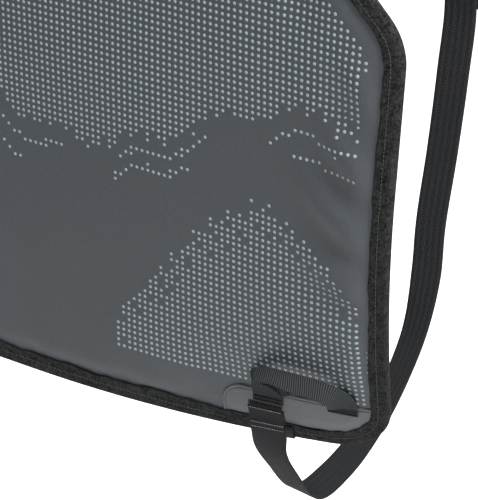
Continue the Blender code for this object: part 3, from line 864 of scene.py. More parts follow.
def sheet_grid(gap, pitch, cols):
    """x and v at every point of such a grid, foot first, so that it faces out."""
    v, half = grid_rows(gap, pitch)
    x = half[::-1, None] * np.linspace(-1, 1, cols)
    return x, np.broadcast_to(v[::-1, None], x.shape)


def body_lift(x, v):
    """The pad's half thickness: pinched under the tape, full 16 mm inside it."""
    inside = (inset(x, v) - 0.8 * leaf_at(v)) / 0.016
    return EDGE_HALF + (HALF - EDGE_HALF) * smooth(inside)


def settle(points, held, sizes):
    """The grid after Blender's Cloth has let it swell and buckle between its held points."""
    mesh = bpy.data.meshes.new("cover trial")
    mesh.from_pydata(points.reshape(-1, 3).tolist(), [], quads(*points.shape[:2]).tolist())
    trial = bpy.data.objects.new("cover trial", mesh)
    scene = bpy.context.scene
    scene.collection.objects.link(trial)
    group = trial.vertex_groups.new(name="Held")
    group.add(np.flatnonzero(held).tolist(), 1.0, "REPLACE")
    cloth = trial.modifiers.new("Cloth", "CLOTH")
    settings = cloth.settings
    settings.quality = 6
    settings.mass = 0.3
    settings.tension_stiffness = settings.compression_stiffness = 30
    settings.shear_stiffness = 20
    settings.bending_stiffness = sizes.cover_stiffness
    settings.vertex_group_mass = group.name
    settings.shrink_min = -sizes.cover_fullness
    settings.use_pressure = True
    settings.uniform_pressure_force = sizes.cover_pressure
    settings.effector_weights.gravity = 0
    cloth.collision_settings.use_collision = False
    cloth.point_cache.frame_start = 1
    cloth.point_cache.frame_end = CLOTH_FRAMES
    for number in range(1, CLOTH_FRAMES + 1):
        scene.frame_set(number)
    ready = trial.evaluated_get(bpy.context.evaluated_depsgraph_get())
    settled = np.empty(len(mesh.vertices) * 3)
    ready.data.vertices.foreach_get("co", settled)
    bpy.data.objects.remove(trial)
    bpy.data.meshes.remove(mesh)
    scene.frame_set(1)
    return settled.reshape(points.shape)


SLACK = {}


def slack():
    """How far the cloth settles out or in over a coarse grid: its rows, their half widths and this."""
    if not SLACK:
        sizes = bpy.context.scene.bike_pad_sizes
        x, v = sheet_grid(SHEET_INSET, 0.010, CLOTH_COLUMNS)
        start = drape(x, v, body_lift(x, v))
        moved = np.zeros(x.shape)
        held = inset(x, v) < leaf_at(v) + 0.001
        settled = settle(start, held.ravel(), sizes)
        moved = ((settled - start) * facing(x, v)).sum(axis=-1)
        moved = np.clip(moved, -sizes.cover_cap, sizes.cover_cap)
        SLACK["v"], SLACK["half"], SLACK["moved"] = v[::-1, 0], x[::-1, -1], moved[::-1]
    return SLACK


def slack_lift(x, v):
    """The settled distances read between the coarse grid's points, smoothly along both directions."""
    known = slack()
    share = np.clip(x / np.interp(v, known["v"], known["half"]), -1, 1)
    row = np.interp(v, known["v"], np.arange(len(known["v"])))
    col = (share + 1) / 2 * (CLOTH_COLUMNS - 1)
    r = np.clip(row.astype(int), 0, len(known["v"]) - 2)
    c = np.clip(col.astype(int), 0, CLOTH_COLUMNS - 2)
    down, across = smooth(row - r), smooth(col - c)
    table = known["moved"]
    near = table[r, c] * (1 - across) + table[r, c + 1] * across
    far = table[r + 1, c] * (1 - across) + table[r + 1, c + 1] * across
    return near * (1 - down) + far * down


def cover_lift(x, v):
    """The outer cover's lift: the body, what the cloth added, swells and creases inside the tape.

    What the cloth added fades out where the patches' corners and the frame straps' bases are sewn on.
    """
    x, v = np.broadcast_arrays(np.asarray(x, float), np.asarray(v, float))
    free = smooth((inset(x, v) - leaf_at(v)) / 0.012)
    sewn = smooth((abs(x) - 0.165) / 0.030) * smooth((v - FOOT_V + 0.088) / 0.030)
    under_base = smooth(1 - (abs(v) - BASE_WIDTH / 2) / 0.02)
    under_base = under_base * smooth(1 - (abs(abs(x) - FRAME_STRAP_X) - BASE_LENGTH / 2) / 0.02)
    sewn = np.maximum(sewn, under_base)
    moved = (1 - sewn) * slack_lift(x, v) + (1 - 0.8 * sewn) * rolling(x, v) + creases(x, v)
    return body_lift(x, v) + free * moved


def wave_edge(x):
    """Where the printed wave ends: a sine of x with a shorter one on it."""
    long_wave = WAVE_HEIGHT * np.sin(2 * math.pi * (x / WAVE_LENGTH + 0.09))
    return WAVE_MIDDLE + long_wave + 0.006 * np.sin(x * 88)


def patch_height(share):
    """A patch's height over the foot, share from its free end to the outer one."""
    return PATCH_HEIGHTS[0] + (PATCH_HEIGHTS[1] - PATCH_HEIGHTS[0]) * share


def printed(x, v):
    """Which dots are printed: a broad wavy field, two ripples under it and a hill in each corner.

    Each hill is a squared sine of the distance from its inner end. The fields' edges are ragged by a
    product of sines, and some of the dots near a hill's top are left out by another.
    """
    edge = wave_edge(x)
    ragged = 0.0075 * np.sin(x * 437 + np.sin(v * 291) * 2.2) * np.sin(v * 389 + 1.3)
    wide = half_width(v, 0.0125)
    field = (v > 0.150) & (v < edge + ragged) & (abs(x) < wide)
    below = v - edge
    ripple = (abs(below - 0.0165 - 0.004 * np.sin(x * 31)) < 0.0028) & (np.sin(x * 47 + 0.8) > -0.35)
    ripple |= (abs(below - 0.033 - 0.006 * np.sin(x * 26 + 1)) < 0.0027) & (np.sin(x * 39 + 2.4) > 0.1)
    across = (abs(x) - HILL_INNER) / (wide + 0.0108 - HILL_INNER)
    share = np.clip((across - 0.45) / 0.55, 0, 1)
    base = FOOT_V - patch_height(share) - 0.0015
    rise = 0.012 + 0.150 * np.sin(math.pi * (0.12 + 0.62 * across)) ** 2
    hill = (across > 0) & (across < 1) & (v < base) & (v > base - rise - ragged)
    near_top = v - (base - rise)
    hill &= ~((near_top < 0.030) & (np.sin(x * 353) * np.sin(v * 317 + x * 200) > 0.55))
    return (field | (ripple & (abs(x) < wide)) | hill) & (v < FOOT_V - 0.0475)


def handle_edges(side, count):
    """Both edges of a corner handle: flowing through the route, over the patch at its tacks."""
    route = flowing(np.array(HANDLE_ROUTE) / 1000, count)
    edges = []
    for x, up, out in (route[:, :3].T, route[:, 3:].T):
        v = FOOT_V - HANDLE_TACK_RISE - HANDLE_WIDTH / 2 - up
        lift = cover_lift(side * x, v) + PATCH + 0.0004 + WEBBING / 2 + np.maximum(out, 0)
        edges.append(drape(side * x, v, lift))
    return edges


def buckle_frame():
    """A ladder lock's place in the section: its middle bar, its up and its side towards the panel."""
    end = drape(STRAP_X, FLAP_V, 0)[1:]
    up = np.array([-math.sin(BUCKLE_LEAN), math.cos(BUCKLE_LEAN)])
    return end - BUCKLE_DROP * up, up, np.array([-up[1], up[0]])


def from_buckle(points):
    """Places in the section of points given as (towards the panel, up) from the middle bar."""
    centre, up, near = buckle_frame()
    points = np.asarray(points, float)
    return centre + points[:, :1] * near + points[:, 1:] * up


def strap_edges(side):
    """Both edges of a tailgate strap: on the patch, round the hanging loop and through the buckle.

    Sewn, each edge is draped. In the loop the edges lie half a width from the route, along X made
    square to the path and turned by the twist. Both then flow through these places together.
    """
    seat = EDGE_HALF + TAPE_SEAT + TAPE + WEBBING / 2 + 0.0004
    leave = drape(STRAP_X, FOOT_V, seat)[1:]
    lead_in = from_buckle([(WRAP, -3 * BUCKLE_PITCH), (WRAP, -BUCKLE_PITCH)])
    across, height, shift, twist = np.array(STRAP_ROUTE).T
    rise = np.where(height < 0, STRAP_SAG, lead_in[0, 1] - leave[1])
    loop = np.stack([leave[0] + across * (lead_in[0, 0] - leave[0]), leave[1] + height * rise], axis=-1)
    middle = np.column_stack([STRAP_X + shift / 1000, loop])
    line = np.concatenate([[[STRAP_X, *leave]], middle, in_section(lead_in, STRAP_X)])
    along = unit(np.gradient(line, axis=0))[1:-2]
    level = unit(np.array([1.0, 0, 0]) - along * along[:, :1])
    turn = twist[:, None]
    wide = (np.cos(turn) * level + np.sin(turn) * np.cross(along, level)) * STRAP_WIDTH / 2
    over = np.concatenate([from_buckle(arc((0, 0), WRAP, 0, 1)), from_buckle(TAIL_ROUTE)])
    routes, ends = [], []
    for k in (-1, 1):
        x = STRAP_X + k * STRAP_WIDTH / 2
        laps = FOOT_V + np.array([-STRAP_LAP, -0.6 * STRAP_LAP, -0.25 * STRAP_LAP, 0])
        lifts = cover_lift(x, laps[:2]) + PATCH + WEBBING / 2 + 0.0003
        lifts = np.concatenate([lifts, [max(seat, lifts[1]), seat]])
        routes.append(np.concatenate([drape(x, laps, lifts), middle + k * wide, in_section(lead_in, x)]))
        ends.append(in_section(over, x))
    run = flowing(np.concatenate(routes, axis=1), 220)
    edges = [np.concatenate([run[:, :3], ends[0]]), np.concatenate([run[:, 3:], ends[1]])]
    return edges if side > 0 else [e * (-1, 1, 1) for e in edges[::-1]]


def in_section(path, x):
    """A path in the section at one x."""
    return np.column_stack([np.full(len(path), x), path])


def ring_levels():
    """Heights over the top: webbing on the base, its pitch, the wrap, the ring and the top run."""
    low = SEAT + PATCH + SEAT + WEBBING / 2
    pitch = WEBBING + 2 * SEAT
    wrap = RING_WIRE / 2 + SEAT + WEBBING / 2
    ring = low + wrap
    return low, pitch, wrap, ring, ring + wrap + pitch + 0.0005


def lying_edges(side, path, width):
    """Both edges of webbing that lies along x on the top, its path as (outward, height)."""
    path = np.asarray(path, float)
    x = side * (FRAME_STRAP_X + path[:, 0])
    return [drape(x, v, HALF + path[:, 1]) for v in (-width / 2, width / 2)]


class BikePadSizes(bpy.types.PropertyGroup):
    dot_pitch: FloatProperty(
        name="Dot pitch", description="From one printed dot to the next", default=0.0051, unit="LENGTH"
    )
    dot_diameter: FloatProperty(
        name="Dot diameter", description="Size of a printed dot", default=0.0027, unit="LENGTH"
    )
    stitch_pitch: FloatProperty(
        name="Stitch pitch",
        description="From one stitch to the next on the tape",
        default=0.0032,
        unit="LENGTH",
    )
    stitch_radius: FloatProperty(
        name="Thread radius", description="Half the thickness of a stitch", default=0.00030, unit="LENGTH"
    )
    tape_thickness: FloatProperty(
        name="Tape thickness", description="Thickness of the binding tape", default=TAPE, unit="LENGTH"
    )
    cover_fullness: FloatProperty(
        name="Cover fullness",
        description="How much larger the cover is cut than the pad",
        default=0.006,
        subtype="FACTOR",
    )
    cover_pressure: FloatProperty(
        name="Cover pressure", description="How hard the foam pushes the cover out", default=0.35
    )
    cover_stiffness: FloatProperty(
        name="Cover stiffness", description="How far the cover resists bending", default=6.0
    )
    cover_cap: FloatProperty(
        name="Cover travel",
        description="The most that the cover may leave its place",
        default=0.0022,
        unit="LENGTH",
    )


def tint(name, text, default):
    """A colour in the panel."""
    return FloatVectorProperty(name=name, description=text, default=default, subtype="COLOR", min=0, max=1)


class BikePadColours(bpy.types.PropertyGroup):
    cover: tint("Cover", "Coated tarpaulin of the pad", (0.0222, 0.0262, 0.0305))
    patch: tint("Patches", "Smooth tarpaulin of the patches", (0.034, 0.0368, 0.0402))
    ink: tint("Ink", "Printed dots", (0.150, 0.188, 0.201))
    tape: tint("Tape", "Binding tape", (0.0145, 0.0150, 0.0152))
    strap: tint("Straps", "Strap webbing", (0.0150, 0.0157, 0.0171))
    handle: tint("Handles", "Ribbed webbing", (0.022, 0.0242, 0.0265))
    lining: tint("Lining", "Fleece on the inner side", (0.045, 0.046, 0.048))
    foam: tint("Foam", "Foam core", (0.030, 0.033, 0.036))
    plastic: tint("Buckles", "Moulded plastic", (0.012, 0.012, 0.013))
    steel: tint("Rings", "Plated wire", (0.45, 0.45, 0.46))
    thread: tint("Tape thread", "Stitches on the tape", (0.040, 0.041, 0.042))
    tack: tint("Tack thread", "Bar tacks", (0.006, 0.006, 0.006))
    pale_thread: tint("Pale thread", "Stitches on the straps", (0.26, 0.265, 0.27))


class BIKEPAD_OT_cover(bpy.types.Operator):
    """Outer cover: the draped pattern at the cover's lift"""

    bl_idname = "bikepad.cover"
    bl_label = "Outer cover"

    def execute(self, context):
        x, v = sheet_grid(SHEET_INSET, COVER_STEP, 125)
        points = drape(x, v, cover_lift(x, v))
        pattern = np.stack([x, v], axis=-1)
        finish = finishes()["cover"]
        made = grid_piece("cover", points, finish, "tarpaulin", ["outer_cover"], pattern, wall=COVER)
        return {"FINISHED"}


class BIKEPAD_OT_foam(bpy.types.Operator):
    """Foam core: a slab between cover and lining that stays under the cover's lowest dips"""

    bl_idname = "bikepad.foam"
    bl_label = "Foam core"

    def execute(self, context):
        x, v = sheet_grid(0.0022, 2 * COVER_STEP, 65)
        body = body_lift(x, v)
        steps = (-COVER_STEP, 0, COVER_STEP)
        near = [(a, b) for a in steps for b in steps]
        dips = np.min([cover_lift(x + a, v + b) for a, b in near], axis=0)
        under = LINING + 0.0004 - body
        over = np.minimum(body, dips) - COVER - 0.0011
        top = drape(x, v, np.maximum(over, under + 0.0004))
        bottom = drape(x, v, under)
        rows = np.concatenate([top, bottom[:, ::-1], top[:, :1]], axis=1)
        cap = np.concatenate([top, top[:, ::-1], top[:, :1]], axis=1)
        points = np.concatenate([cap[:1], rows, cap[-1:]])
        made = grid_piece("foam", points, finishes()["foam"], "foam", ["foam_core"], closed=True)
        return {"FINISHED"}


class BIKEPAD_OT_lining(bpy.types.Operator):
    """Lining: fleece on the side that lies on the tailgate"""

    bl_idname = "bikepad.lining"
    bl_label = "Lining"

    def execute(self, context):
        x, v = sheet_grid(SHEET_INSET, 0.0075, 91)
        free = smooth((inset(x, v) - leaf_at(v)) / 0.012)
        points = drape(x, v, -body_lift(x, v) - free * 0.35 * rolling(-x, v))[:, ::-1]
        pattern = np.stack([x, v], axis=-1)[:, ::-1]
        finish = finishes()["lining"]
        made = grid_piece("lining_fleece", points, finish, "fleece", ["lining"], pattern, wall=LINING)
        return {"FINISHED"}


class BIKEPAD_OT_binding(bpy.types.Operator):
    """Edge binding: a tape folded round the edge, a U with a round nose carried along the outline"""

    bl_idname = "bikepad.binding"
    bl_label = "Edge binding"

    def execute(self, context):
        sizes = context.scene.bike_pad_sizes
        at, out, along = outline_loop(0.004)
        thick = sizes.tape_thickness
        top = EDGE_HALF + TAPE_SEAT + thick
        waver = 0
        for height, pace, phase in TAPE_WAVER:
            waver = waver + height * np.sin(along * pace + phase)
        reach = leaf(out)[:, 0] + waver * (1 + 1.2 * np.maximum(out[:, 1], 0))
        proud = (NOSE_OUT - 0.0010 * np.maximum(out[:, 1:], 0) ** 2)[..., None]
        nose = NOSE - proud[..., 0]
        angle = np.linspace(0.5, -0.5, 13) * math.pi
        share = np.array([0, 0.06, 0.16, 0.3, 0.42, 0.48, 0.54, 0.66, 0.82])
        flat = reach[:, None] + (nose - reach[:, None]) * share
        dip = 0.00028 * np.exp(-(((flat / reach[:, None] - STITCH_LINE) / 0.07) ** 2))
        ripple = 0.00016 * np.sin(along[:, None] * 2 * math.pi / 0.021 + 3 * np.sin(along[:, None] * 17))
        ripple = ripple + 0.00012 * np.sin(along[:, None] * 2 * math.pi / sizes.stitch_pitch)
        lip = np.where(share < 0.05, -0.00025, 0.0)
        lift = top - dip + lip + ripple * (1 - share) * (share < 0.6)
        front = np.stack([flat, lift], axis=-1)
        round_nose = [NOSE * (1 - np.cos(angle)), top * np.sin(angle)]
        round_nose = np.tile(np.stack(round_nose, axis=-1), (len(at), 1, 1)) - proud * (1, 0)
        back = front[:, ::-1] * (1, -1)
        section = np.concatenate([front, round_nose, back], axis=1)
        where = at[:, None] - out[:, None] * section[..., :1]
        points = drape(where[..., 0], where[..., 1], section[..., 1])[:, ::-1]
        girth = lengths(points)[0, :, 0]
        pattern = np.stack(np.meshgrid(girth, along), axis=-1)[..., ::-1]
        grid_piece("binding", points, finishes()["tape"], "tape", ["edge_binding"], pattern, wall=thick)
        return {"FINISHED"}


class BIKEPAD_OT_binding_stitches(bpy.types.Operator):
    """Tape stitches: one row on each face, a little under half way in"""

    bl_idname = "bikepad.binding_stitches"
    bl_label = "Tape stitches"

    def execute(self, context):
        sizes = context.scene.bike_pad_sizes
        at, out, _ = outline_loop(sizes.stitch_pitch)
        line = at - out * leaf(out) * STITCH_LINE
        top = EDGE_HALF + TAPE_SEAT + sizes.tape_thickness - 0.0002
        for face, name in ((1, "front"), (-1, "back")):
            places = drape(line[:, 0], line[:, 1], face * top)
            middle = (places[1:] + places[:-1]) / 2
            normal = face * facing(line[1:, 0], line[1:, 1])
            threads(
                f"tape_stitches_{name}",
                middle,
                np.diff(places, axis=0),
                normal,
                sizes.stitch_pitch * 0.78,
                sizes.stitch_radius,
                finishes()["thread"],
            )
        return {"FINISHED"}


class BIKEPAD_OT_print(bpy.types.Operator):
    """Printed dots: flat discs on a square lattice, laid on the cover wherever a field is printed"""

    bl_idname = "bikepad.print"
    bl_label = "Printed dots"

    def execute(self, context):
        sizes = context.scene.bike_pad_sizes
        across = np.arange(-DOTS_EACH_WAY, DOTS_EACH_WAY + 1) * sizes.dot_pitch
        down = FIRST_ROW + np.arange(DOT_ROWS) * sizes.dot_pitch
        x, v = (a.ravel() for a in np.meshgrid(across, down))
        chosen = printed(x, v)
        x, v = x[chosen], v[chosen]
        angle = np.linspace(0, 2 * math.pi, 11)
        radius = sizes.dot_diameter / 2 * np.array([0.0, 0.93, 1.0])[:, None]
        rise = np.array([0.00017, 0.00016, 0.00004])[:, None] + 0 * angle
        disc_x, disc_v = radius * np.cos(angle), radius * np.sin(angle)
        low_wave = self.wave_band(x, v)
        groups = (
            ("dots_wave", low_wave, ["print_wave"]),
            ("dots_hill_left", ~low_wave & (x < 0), ["print_hill_left"]),
            ("dots_hill_right", ~low_wave & (x >= 0), ["print_hill_right"]),
        )
        for name, mine, nodes in groups:
            px = x[mine, None, None] + disc_x
            pv = v[mine, None, None] + disc_v
            points = drape(px, pv, cover_lift(px, pv) + rise)
            faces = quads(*disc_x.shape)[:, ::-1]
            steps = np.arange(len(points))[:, None, None] * disc_x.size
            faces = (faces[None] + steps).reshape(-1, 4)
            pattern = np.stack([px, pv], axis=-1)
            piece(name, points, faces, pattern, finishes()["ink"], "ink", nodes)
        return {"FINISHED"}

    def wave_band(self, x, v):
        """Dots that belong to the wave and its ripples."""
        return v < wave_edge(x) + 0.0435 - 0.010 * (abs(x) > 0.13)


class BIKEPAD_OT_patches(bpy.types.Operator):
    """Corner patches: smooth tarpaulin up to the tape, its free edge turned under and raised"""

    bl_idname = "bikepad.patches"
    bl_label = "Corner patches"

    def execute(self, context):
        for side in (-1, 1):
            x, v, edge = self.grid()
            hem = smooth(edge / 0.0006) * (1 - smooth((edge - 0.0016) / 0.0010))
            groove = np.exp(-(((edge - 0.0030) / 0.0006) ** 2))
            lift = cover_lift(side * x, v) + 0.0002 + PATCH * smooth(edge / 0.0006 + 0.2)
            lift = lift + 0.00035 * hem - 0.0004 * groove + 0.00008 * np.sin(x * 95) * np.sin(v * 130)
            points = drape(side * x, v, lift)
            pattern = np.stack([x, v], axis=-1)
            if side < 0:
                points, pattern = points[:, ::-1], pattern[:, ::-1]
            finish = finishes()["patch"]
            name = word(side)
            nodes = [f"corner_patch_{name}"]
            wall = PATCH * 0.9
            grid_piece(f"patch_{name}", points, finish, "patch_tarpaulin", nodes, pattern, wall=wall)
            self.stitches(side)
        return {"FINISHED"}

    def outline(self, share_up):
        """The patch's foot, and its left end at each height: straight, then a quarter circle."""
        foot = FOOT_V - FOOT_LEAF - 0.0002 + PATCH_UNDER
        below = (1 - share_up) * (PATCH_HEIGHTS[0] - FOOT_LEAF)
        short = np.maximum(PATCH_CORNER - below, 0)
        left = FOOT_HALF - PATCH_REACH + PATCH_CORNER - np.sqrt(np.maximum(PATCH_CORNER**2 - short**2, 0))
        return foot, left

    def grid(self):
        """x, v and the distance to the free edge over the patch, foot first."""
        close = 1 - 0.017 * (1 - np.linspace(0, 1, 12)) ** 2
        share = np.sort(np.concatenate([np.linspace(0, 1, 60)[:-1], close]))[:, None]
        across = np.linspace(0, 1, 90)[None]
        foot, left = self.outline(share)
        v = foot - share * (patch_height(across) - FOOT_LEAF)
        right = half_width(v, -PATCH_UNDER)
        x = left + (right - left) * across
        line_x, line_v = self.free_edge()
        gap = np.hypot(x[..., None] - line_x, v[..., None] - line_v).min(axis=-1)
        return x, v, gap

    def free_edge(self):
        """The free edge as a line: up the end, round its corner and along the top to the tape."""
        share = np.linspace(0, 1, 120)
        foot, left = self.outline(share)
        up_v = foot - share * (PATCH_HEIGHTS[0] - FOOT_LEAF)
        across = np.linspace(0, 1, 240)
        top_v = foot - (patch_height(across) - FOOT_LEAF)
        right = half_width(top_v, -PATCH_UNDER)
        top_x = left[-1] + (right - left[-1]) * across
        return np.concatenate([left, top_x]), np.concatenate([up_v, top_v])

    def stitches(self, side):
        """One row of stitches 3 mm inside the free edge."""
        line = np.stack(self.free_edge(), axis=-1)
        run = unit(np.gradient(line, axis=0))
        inner = line + 0.0030 * np.stack([-run[:, 1], run[:, 0]], axis=-1)
        clear = inner[:, 0] < half_width(inner[:, 1], 0.0005)
        inner = inner[clear & (inner[:, 1] < FOOT_V - FOOT_LEAF - 0.002)]
        lift = cover_lift(side * inner[:, 0], inner[:, 1]) + PATCH - 0.00005
        centres, along, out = seam(side * inner[:, 0], inner[:, 1], 0.0026, lift)
        threads(f"patch_stitches_{word(side)}", centres, along, out, 0.0022, 0.00020, finishes()["tack"])


class BIKEPAD_OT_handles(bpy.types.Operator):
    """Corner handles: webbing flat at both ends and on edge between, with a bar tack at each end"""

    bl_idname = "bikepad.handles"
    bl_label = "Corner handles"

    def execute(self, context):
        for side in (-1, 1):
            edges = handle_edges(side, 150)
            if side < 0:
                edges = edges[::-1]
            name = word(side)
            nodes = [f"corner_handle_{name}"]
            finish = finishes()["handle"]
            band(f"handle_{name}", *edges, WEBBING, finish, "ribbed_webbing", nodes, nap=0.0001)
            # Painted shade: a near-black scrap in the tack finish stands for the dark gap behind the band.
            shade_tuck = self.shade_tuck(side)
            band(f"handle_shade_tuck_{name}", *shade_tuck[::side], WEBBING / 2, finishes()["tack"], "ribbed_webbing")
            self.tacks(side)
        return {"FINISHED"}

    def shade_tuck(self, side):
        """Both edges of a near-black scrap behind the leg, painted shade for the dark gap behind the band,
        shaped as the webbing's end turned in: narrower towards its tip.
        """
        route = flowing(np.array(SHADE_TUCK_ROUTE) / 1000, 12)
        edges = []
        for x, v in (route[:, :2].T, route[:, 2:].T):
            edges.append(drape(side * x, v, cover_lift(side * x, v) + PATCH + 0.0009))
        return edges

    def tacks(self, side):
        """Close upright stitches across each end of the loop, in rows."""
        count = 29
        places = []
        rows = ((HANDLE_LEFT + 0.0003, -0.0048), (HANDLE_LEFT + 0.0003, -0.0012))
        rows += ((HANDLE_RIGHT - HANDLE_WIDTH, 0.0004), (HANDLE_RIGHT - HANDLE_WIDTH, 0.0038))
        for number, (start, up) in enumerate(rows):
            x = side * (start + np.linspace(0.0006, HANDLE_WIDTH - 0.0006, count))
            v = np.full(count, FOOT_V - HANDLE_TACK_RISE - HANDLE_WIDTH / 2 - up)
            lift = cover_lift(x, v) + PATCH + 0.0004 + WEBBING + 0.00005
            places.append(zigzag(x, v, (-0.0016, 0.0016), (lift, lift), number))
        stacked = [np.concatenate(a) for a in zip(*places)]
        threads(f"handle_tacks_{word(side)}", *stacked, 0.0038, 0.00042, finishes()["tack"])


class BIKEPAD_OT_straps(bpy.types.Operator):
    """Tailgate straps: webbing sewn on the patch, hung in a loop and led through the buckle"""

    bl_idname = "bikepad.straps"
    bl_label = "Tailgate straps"

    def execute(self, context):
        for side in (-1, 1):
            edges = strap_edges(side)
            name = word(side)
            nodes = [f"tailgate_strap_{name}"]
            band(f"strap_{name}", *edges, WEBBING, finishes()["strap"], "webbing", nodes, nap=0.00025)
            self.tacks(side)
        return {"FINISHED"}

    def tacks(self, side):
        """A close zigzag over the strap's end, light stitches along it and two rows on the tape."""
        name = word(side)
        count = 34
        x = side * (STRAP_X + 0.0265 * np.linspace(-0.5, 0.5, count))
        v = np.full(count, FOOT_V - STRAP_LAP - 0.0024)
        lift = cover_lift(x, v) + PATCH + 0.0004
        tack = zigzag(x, v, (-0.0030, 0.0026), (lift, lift + 0.0010))
        threads(f"strap_tack_{name}", *tack, 0.0064, 0.00046, finishes()["tack"])
        places = []
        for height, rise, first in ((0.0268, 0.0004, -0.45), (0.0108, 0.0, -0.46), (0.0056, 0.0, -0.46)):
            line = side * (STRAP_X + STRAP_WIDTH * np.linspace(first, -first, 12))
            level = np.full(12, FOOT_V - height)
            lap = cover_lift(line, level) + PATCH + 0.0003
            seat = EDGE_HALF + TAPE_SEAT + 0.0011
            places.append(seam(line, level, 0.0022, np.maximum(lap, seat) + WEBBING + rise))
        stacked = [np.concatenate(a) for a in zip(*places)]
        threads(f"strap_stitches_{name}", *stacked, 0.0018, 0.00030, finishes()["pale_thread"])


class BIKEPAD_OT_stays(bpy.types.Operator):
    """Strap stays: a scrap of webbing rolled round the tape beside each strap"""

    bl_idname = "bikepad.stays"
    bl_label = "Strap stays"

    def execute(self, context):
        path = flowing(np.array(STAY_ROUTE) / 1000, 70)
        for side in (-1, 1):
            first = STRAP_X + STRAP_WIDTH / 2 + 0.0001
            edges = [drape(side * x, FOOT_V + path[:, 0], path[:, 1]) for x in (first, first + STAY_WIDTH)]
            if side < 0:
                edges = edges[::-1]
            name = word(side)
            nodes = [f"strap_stay_{name}"]
            band(f"stay_{name}", *edges, WEBBING, finishes()["stay"], "ribbed_webbing", nodes)
        return {"FINISHED"}


class BIKEPAD_OT_buckles(bpy.types.Operator):
    """Ladder lock buckles: a rounded frame and a gripping middle bar, all of one squared section"""

    bl_idname = "bikepad.buckles"
    bl_label = "Buckles"

    def execute(self, context):
        centre, up, near = buckle_frame()
        up, near = np.array([0, *up]), np.array([0, *near])
        width = STRAP_WIDTH + 2 * SEAT + BUCKLE_RIM
        height = 2 * BUCKLE_PITCH
        for side in (-1, 1):
            middle = np.array([side * STRAP_X, *centre])
            loop = even(rounded_box(width / 2, height / 2, 0.0028), 0.0012)[:-1]
            rim = tube(self.lift(loop, middle, up), BUCKLE_BAR, near, 0.6)
            bar = self.bar(middle, up, near, width)
            points = np.concatenate([rim.reshape(-1, 3), bar.reshape(-1, 3)])
            bar_faces = quads(*bar.shape[:2]) + rim.shape[0] * rim.shape[1]
            faces = np.concatenate([quads(*rim.shape[:2]), bar_faces])
            pattern = points[:, [0, 2]]
            name = word(side)
            piece(
                f"ladder_lock_{name}",
                points,
                faces,
                pattern,
                finishes()["plastic"],
                "plastic",
                [f"buckle_{name}"],
                closed=True,
            )
        return {"FINISHED"}

    def lift(self, loop, middle, up):
        """The flat loop in space: across along x and its other way along up."""
        return middle + loop[:, :1] * np.array([1.0, 0, 0]) + loop[:, 1:] * up

    def bar(self, middle, up, near, width):
        """The middle bar: a squared circle carried straight across, closed at both ends."""
        deep, tall = squared(BUCKLE_BAR, 0.6)
        x = np.linspace(-width / 2, width / 2, 9)
        size = np.array([0, 1, 1, 1, 1, 1, 1, 1, 0])[:, None, None]
        x = x[[0, 0, 1, 3, 4, 5, 7, 8, 8]]
        ring = tall[:, None] * up + deep[:, None] * near
        return middle + x[:, None, None] * np.array([1.0, 0, 0]) + ring[None] * size


class BIKEPAD_OT_tabs(bpy.types.Operator):
    """Buckle tabs: webbing sewn to both faces of the flap and led round the buckle's top bar"""

    bl_idname = "bikepad.tabs"
    bl_label = "Buckle tabs"

    def execute(self, context):
        laps = FLAP_V + TAB_LAP * np.linspace(1, 0, 6)
        lift = EDGE_HALF + TAPE_SEAT + TAPE + 0.0004 + WEBBING / 2
        lifts = np.array([0.0062, 0.0061, 0.0058, lift + 0.0004, lift + 0.0002, lift])
        for side in (-1, 1):
            outer = drape(STRAP_X, laps, lifts)[:, 1:]
            inner = drape(STRAP_X, laps[::-1], -lifts[::-1])[:, 1:]
            under = from_buckle(arc((0, BUCKLE_PITCH), WRAP, 1, 2))
            path = np.concatenate([outer, under, inner])
            half = STRAP_WIDTH / 2
            edges = [in_section(path, side * STRAP_X + k * half) for k in (-1, 1)]
            edges = [flowing(e, 110) for e in edges]
            name = word(side)
            nodes = [f"buckle_tab_{name}"]
            band(f"tab_{name}", *edges, WEBBING, finishes()["strap"], "webbing", nodes)
            self.tack(side, lifts[1] + WEBBING / 2)
        return {"FINISHED"}

    def tack(self, side, lift):
        """A close zigzag across the tab on both faces."""
        count = 34
        x = side * STRAP_X + STRAP_WIDTH * np.linspace(-0.46, 0.46, count)
        v = np.full(count, FLAP_V + TAB_LAP - 0.004)
        places = []
        for face in (1, -1):
            middles, directions, normals = zigzag(x, v, (0.002, -0.002), (face * lift, face * lift))
            places.append((middles, directions, face * normals))
        stacked = [np.concatenate(a) for a in zip(*places)]
        threads(f"tab_tacks_{word(side)}", *stacked, 0.0048, 0.00042, finishes()["tack"])


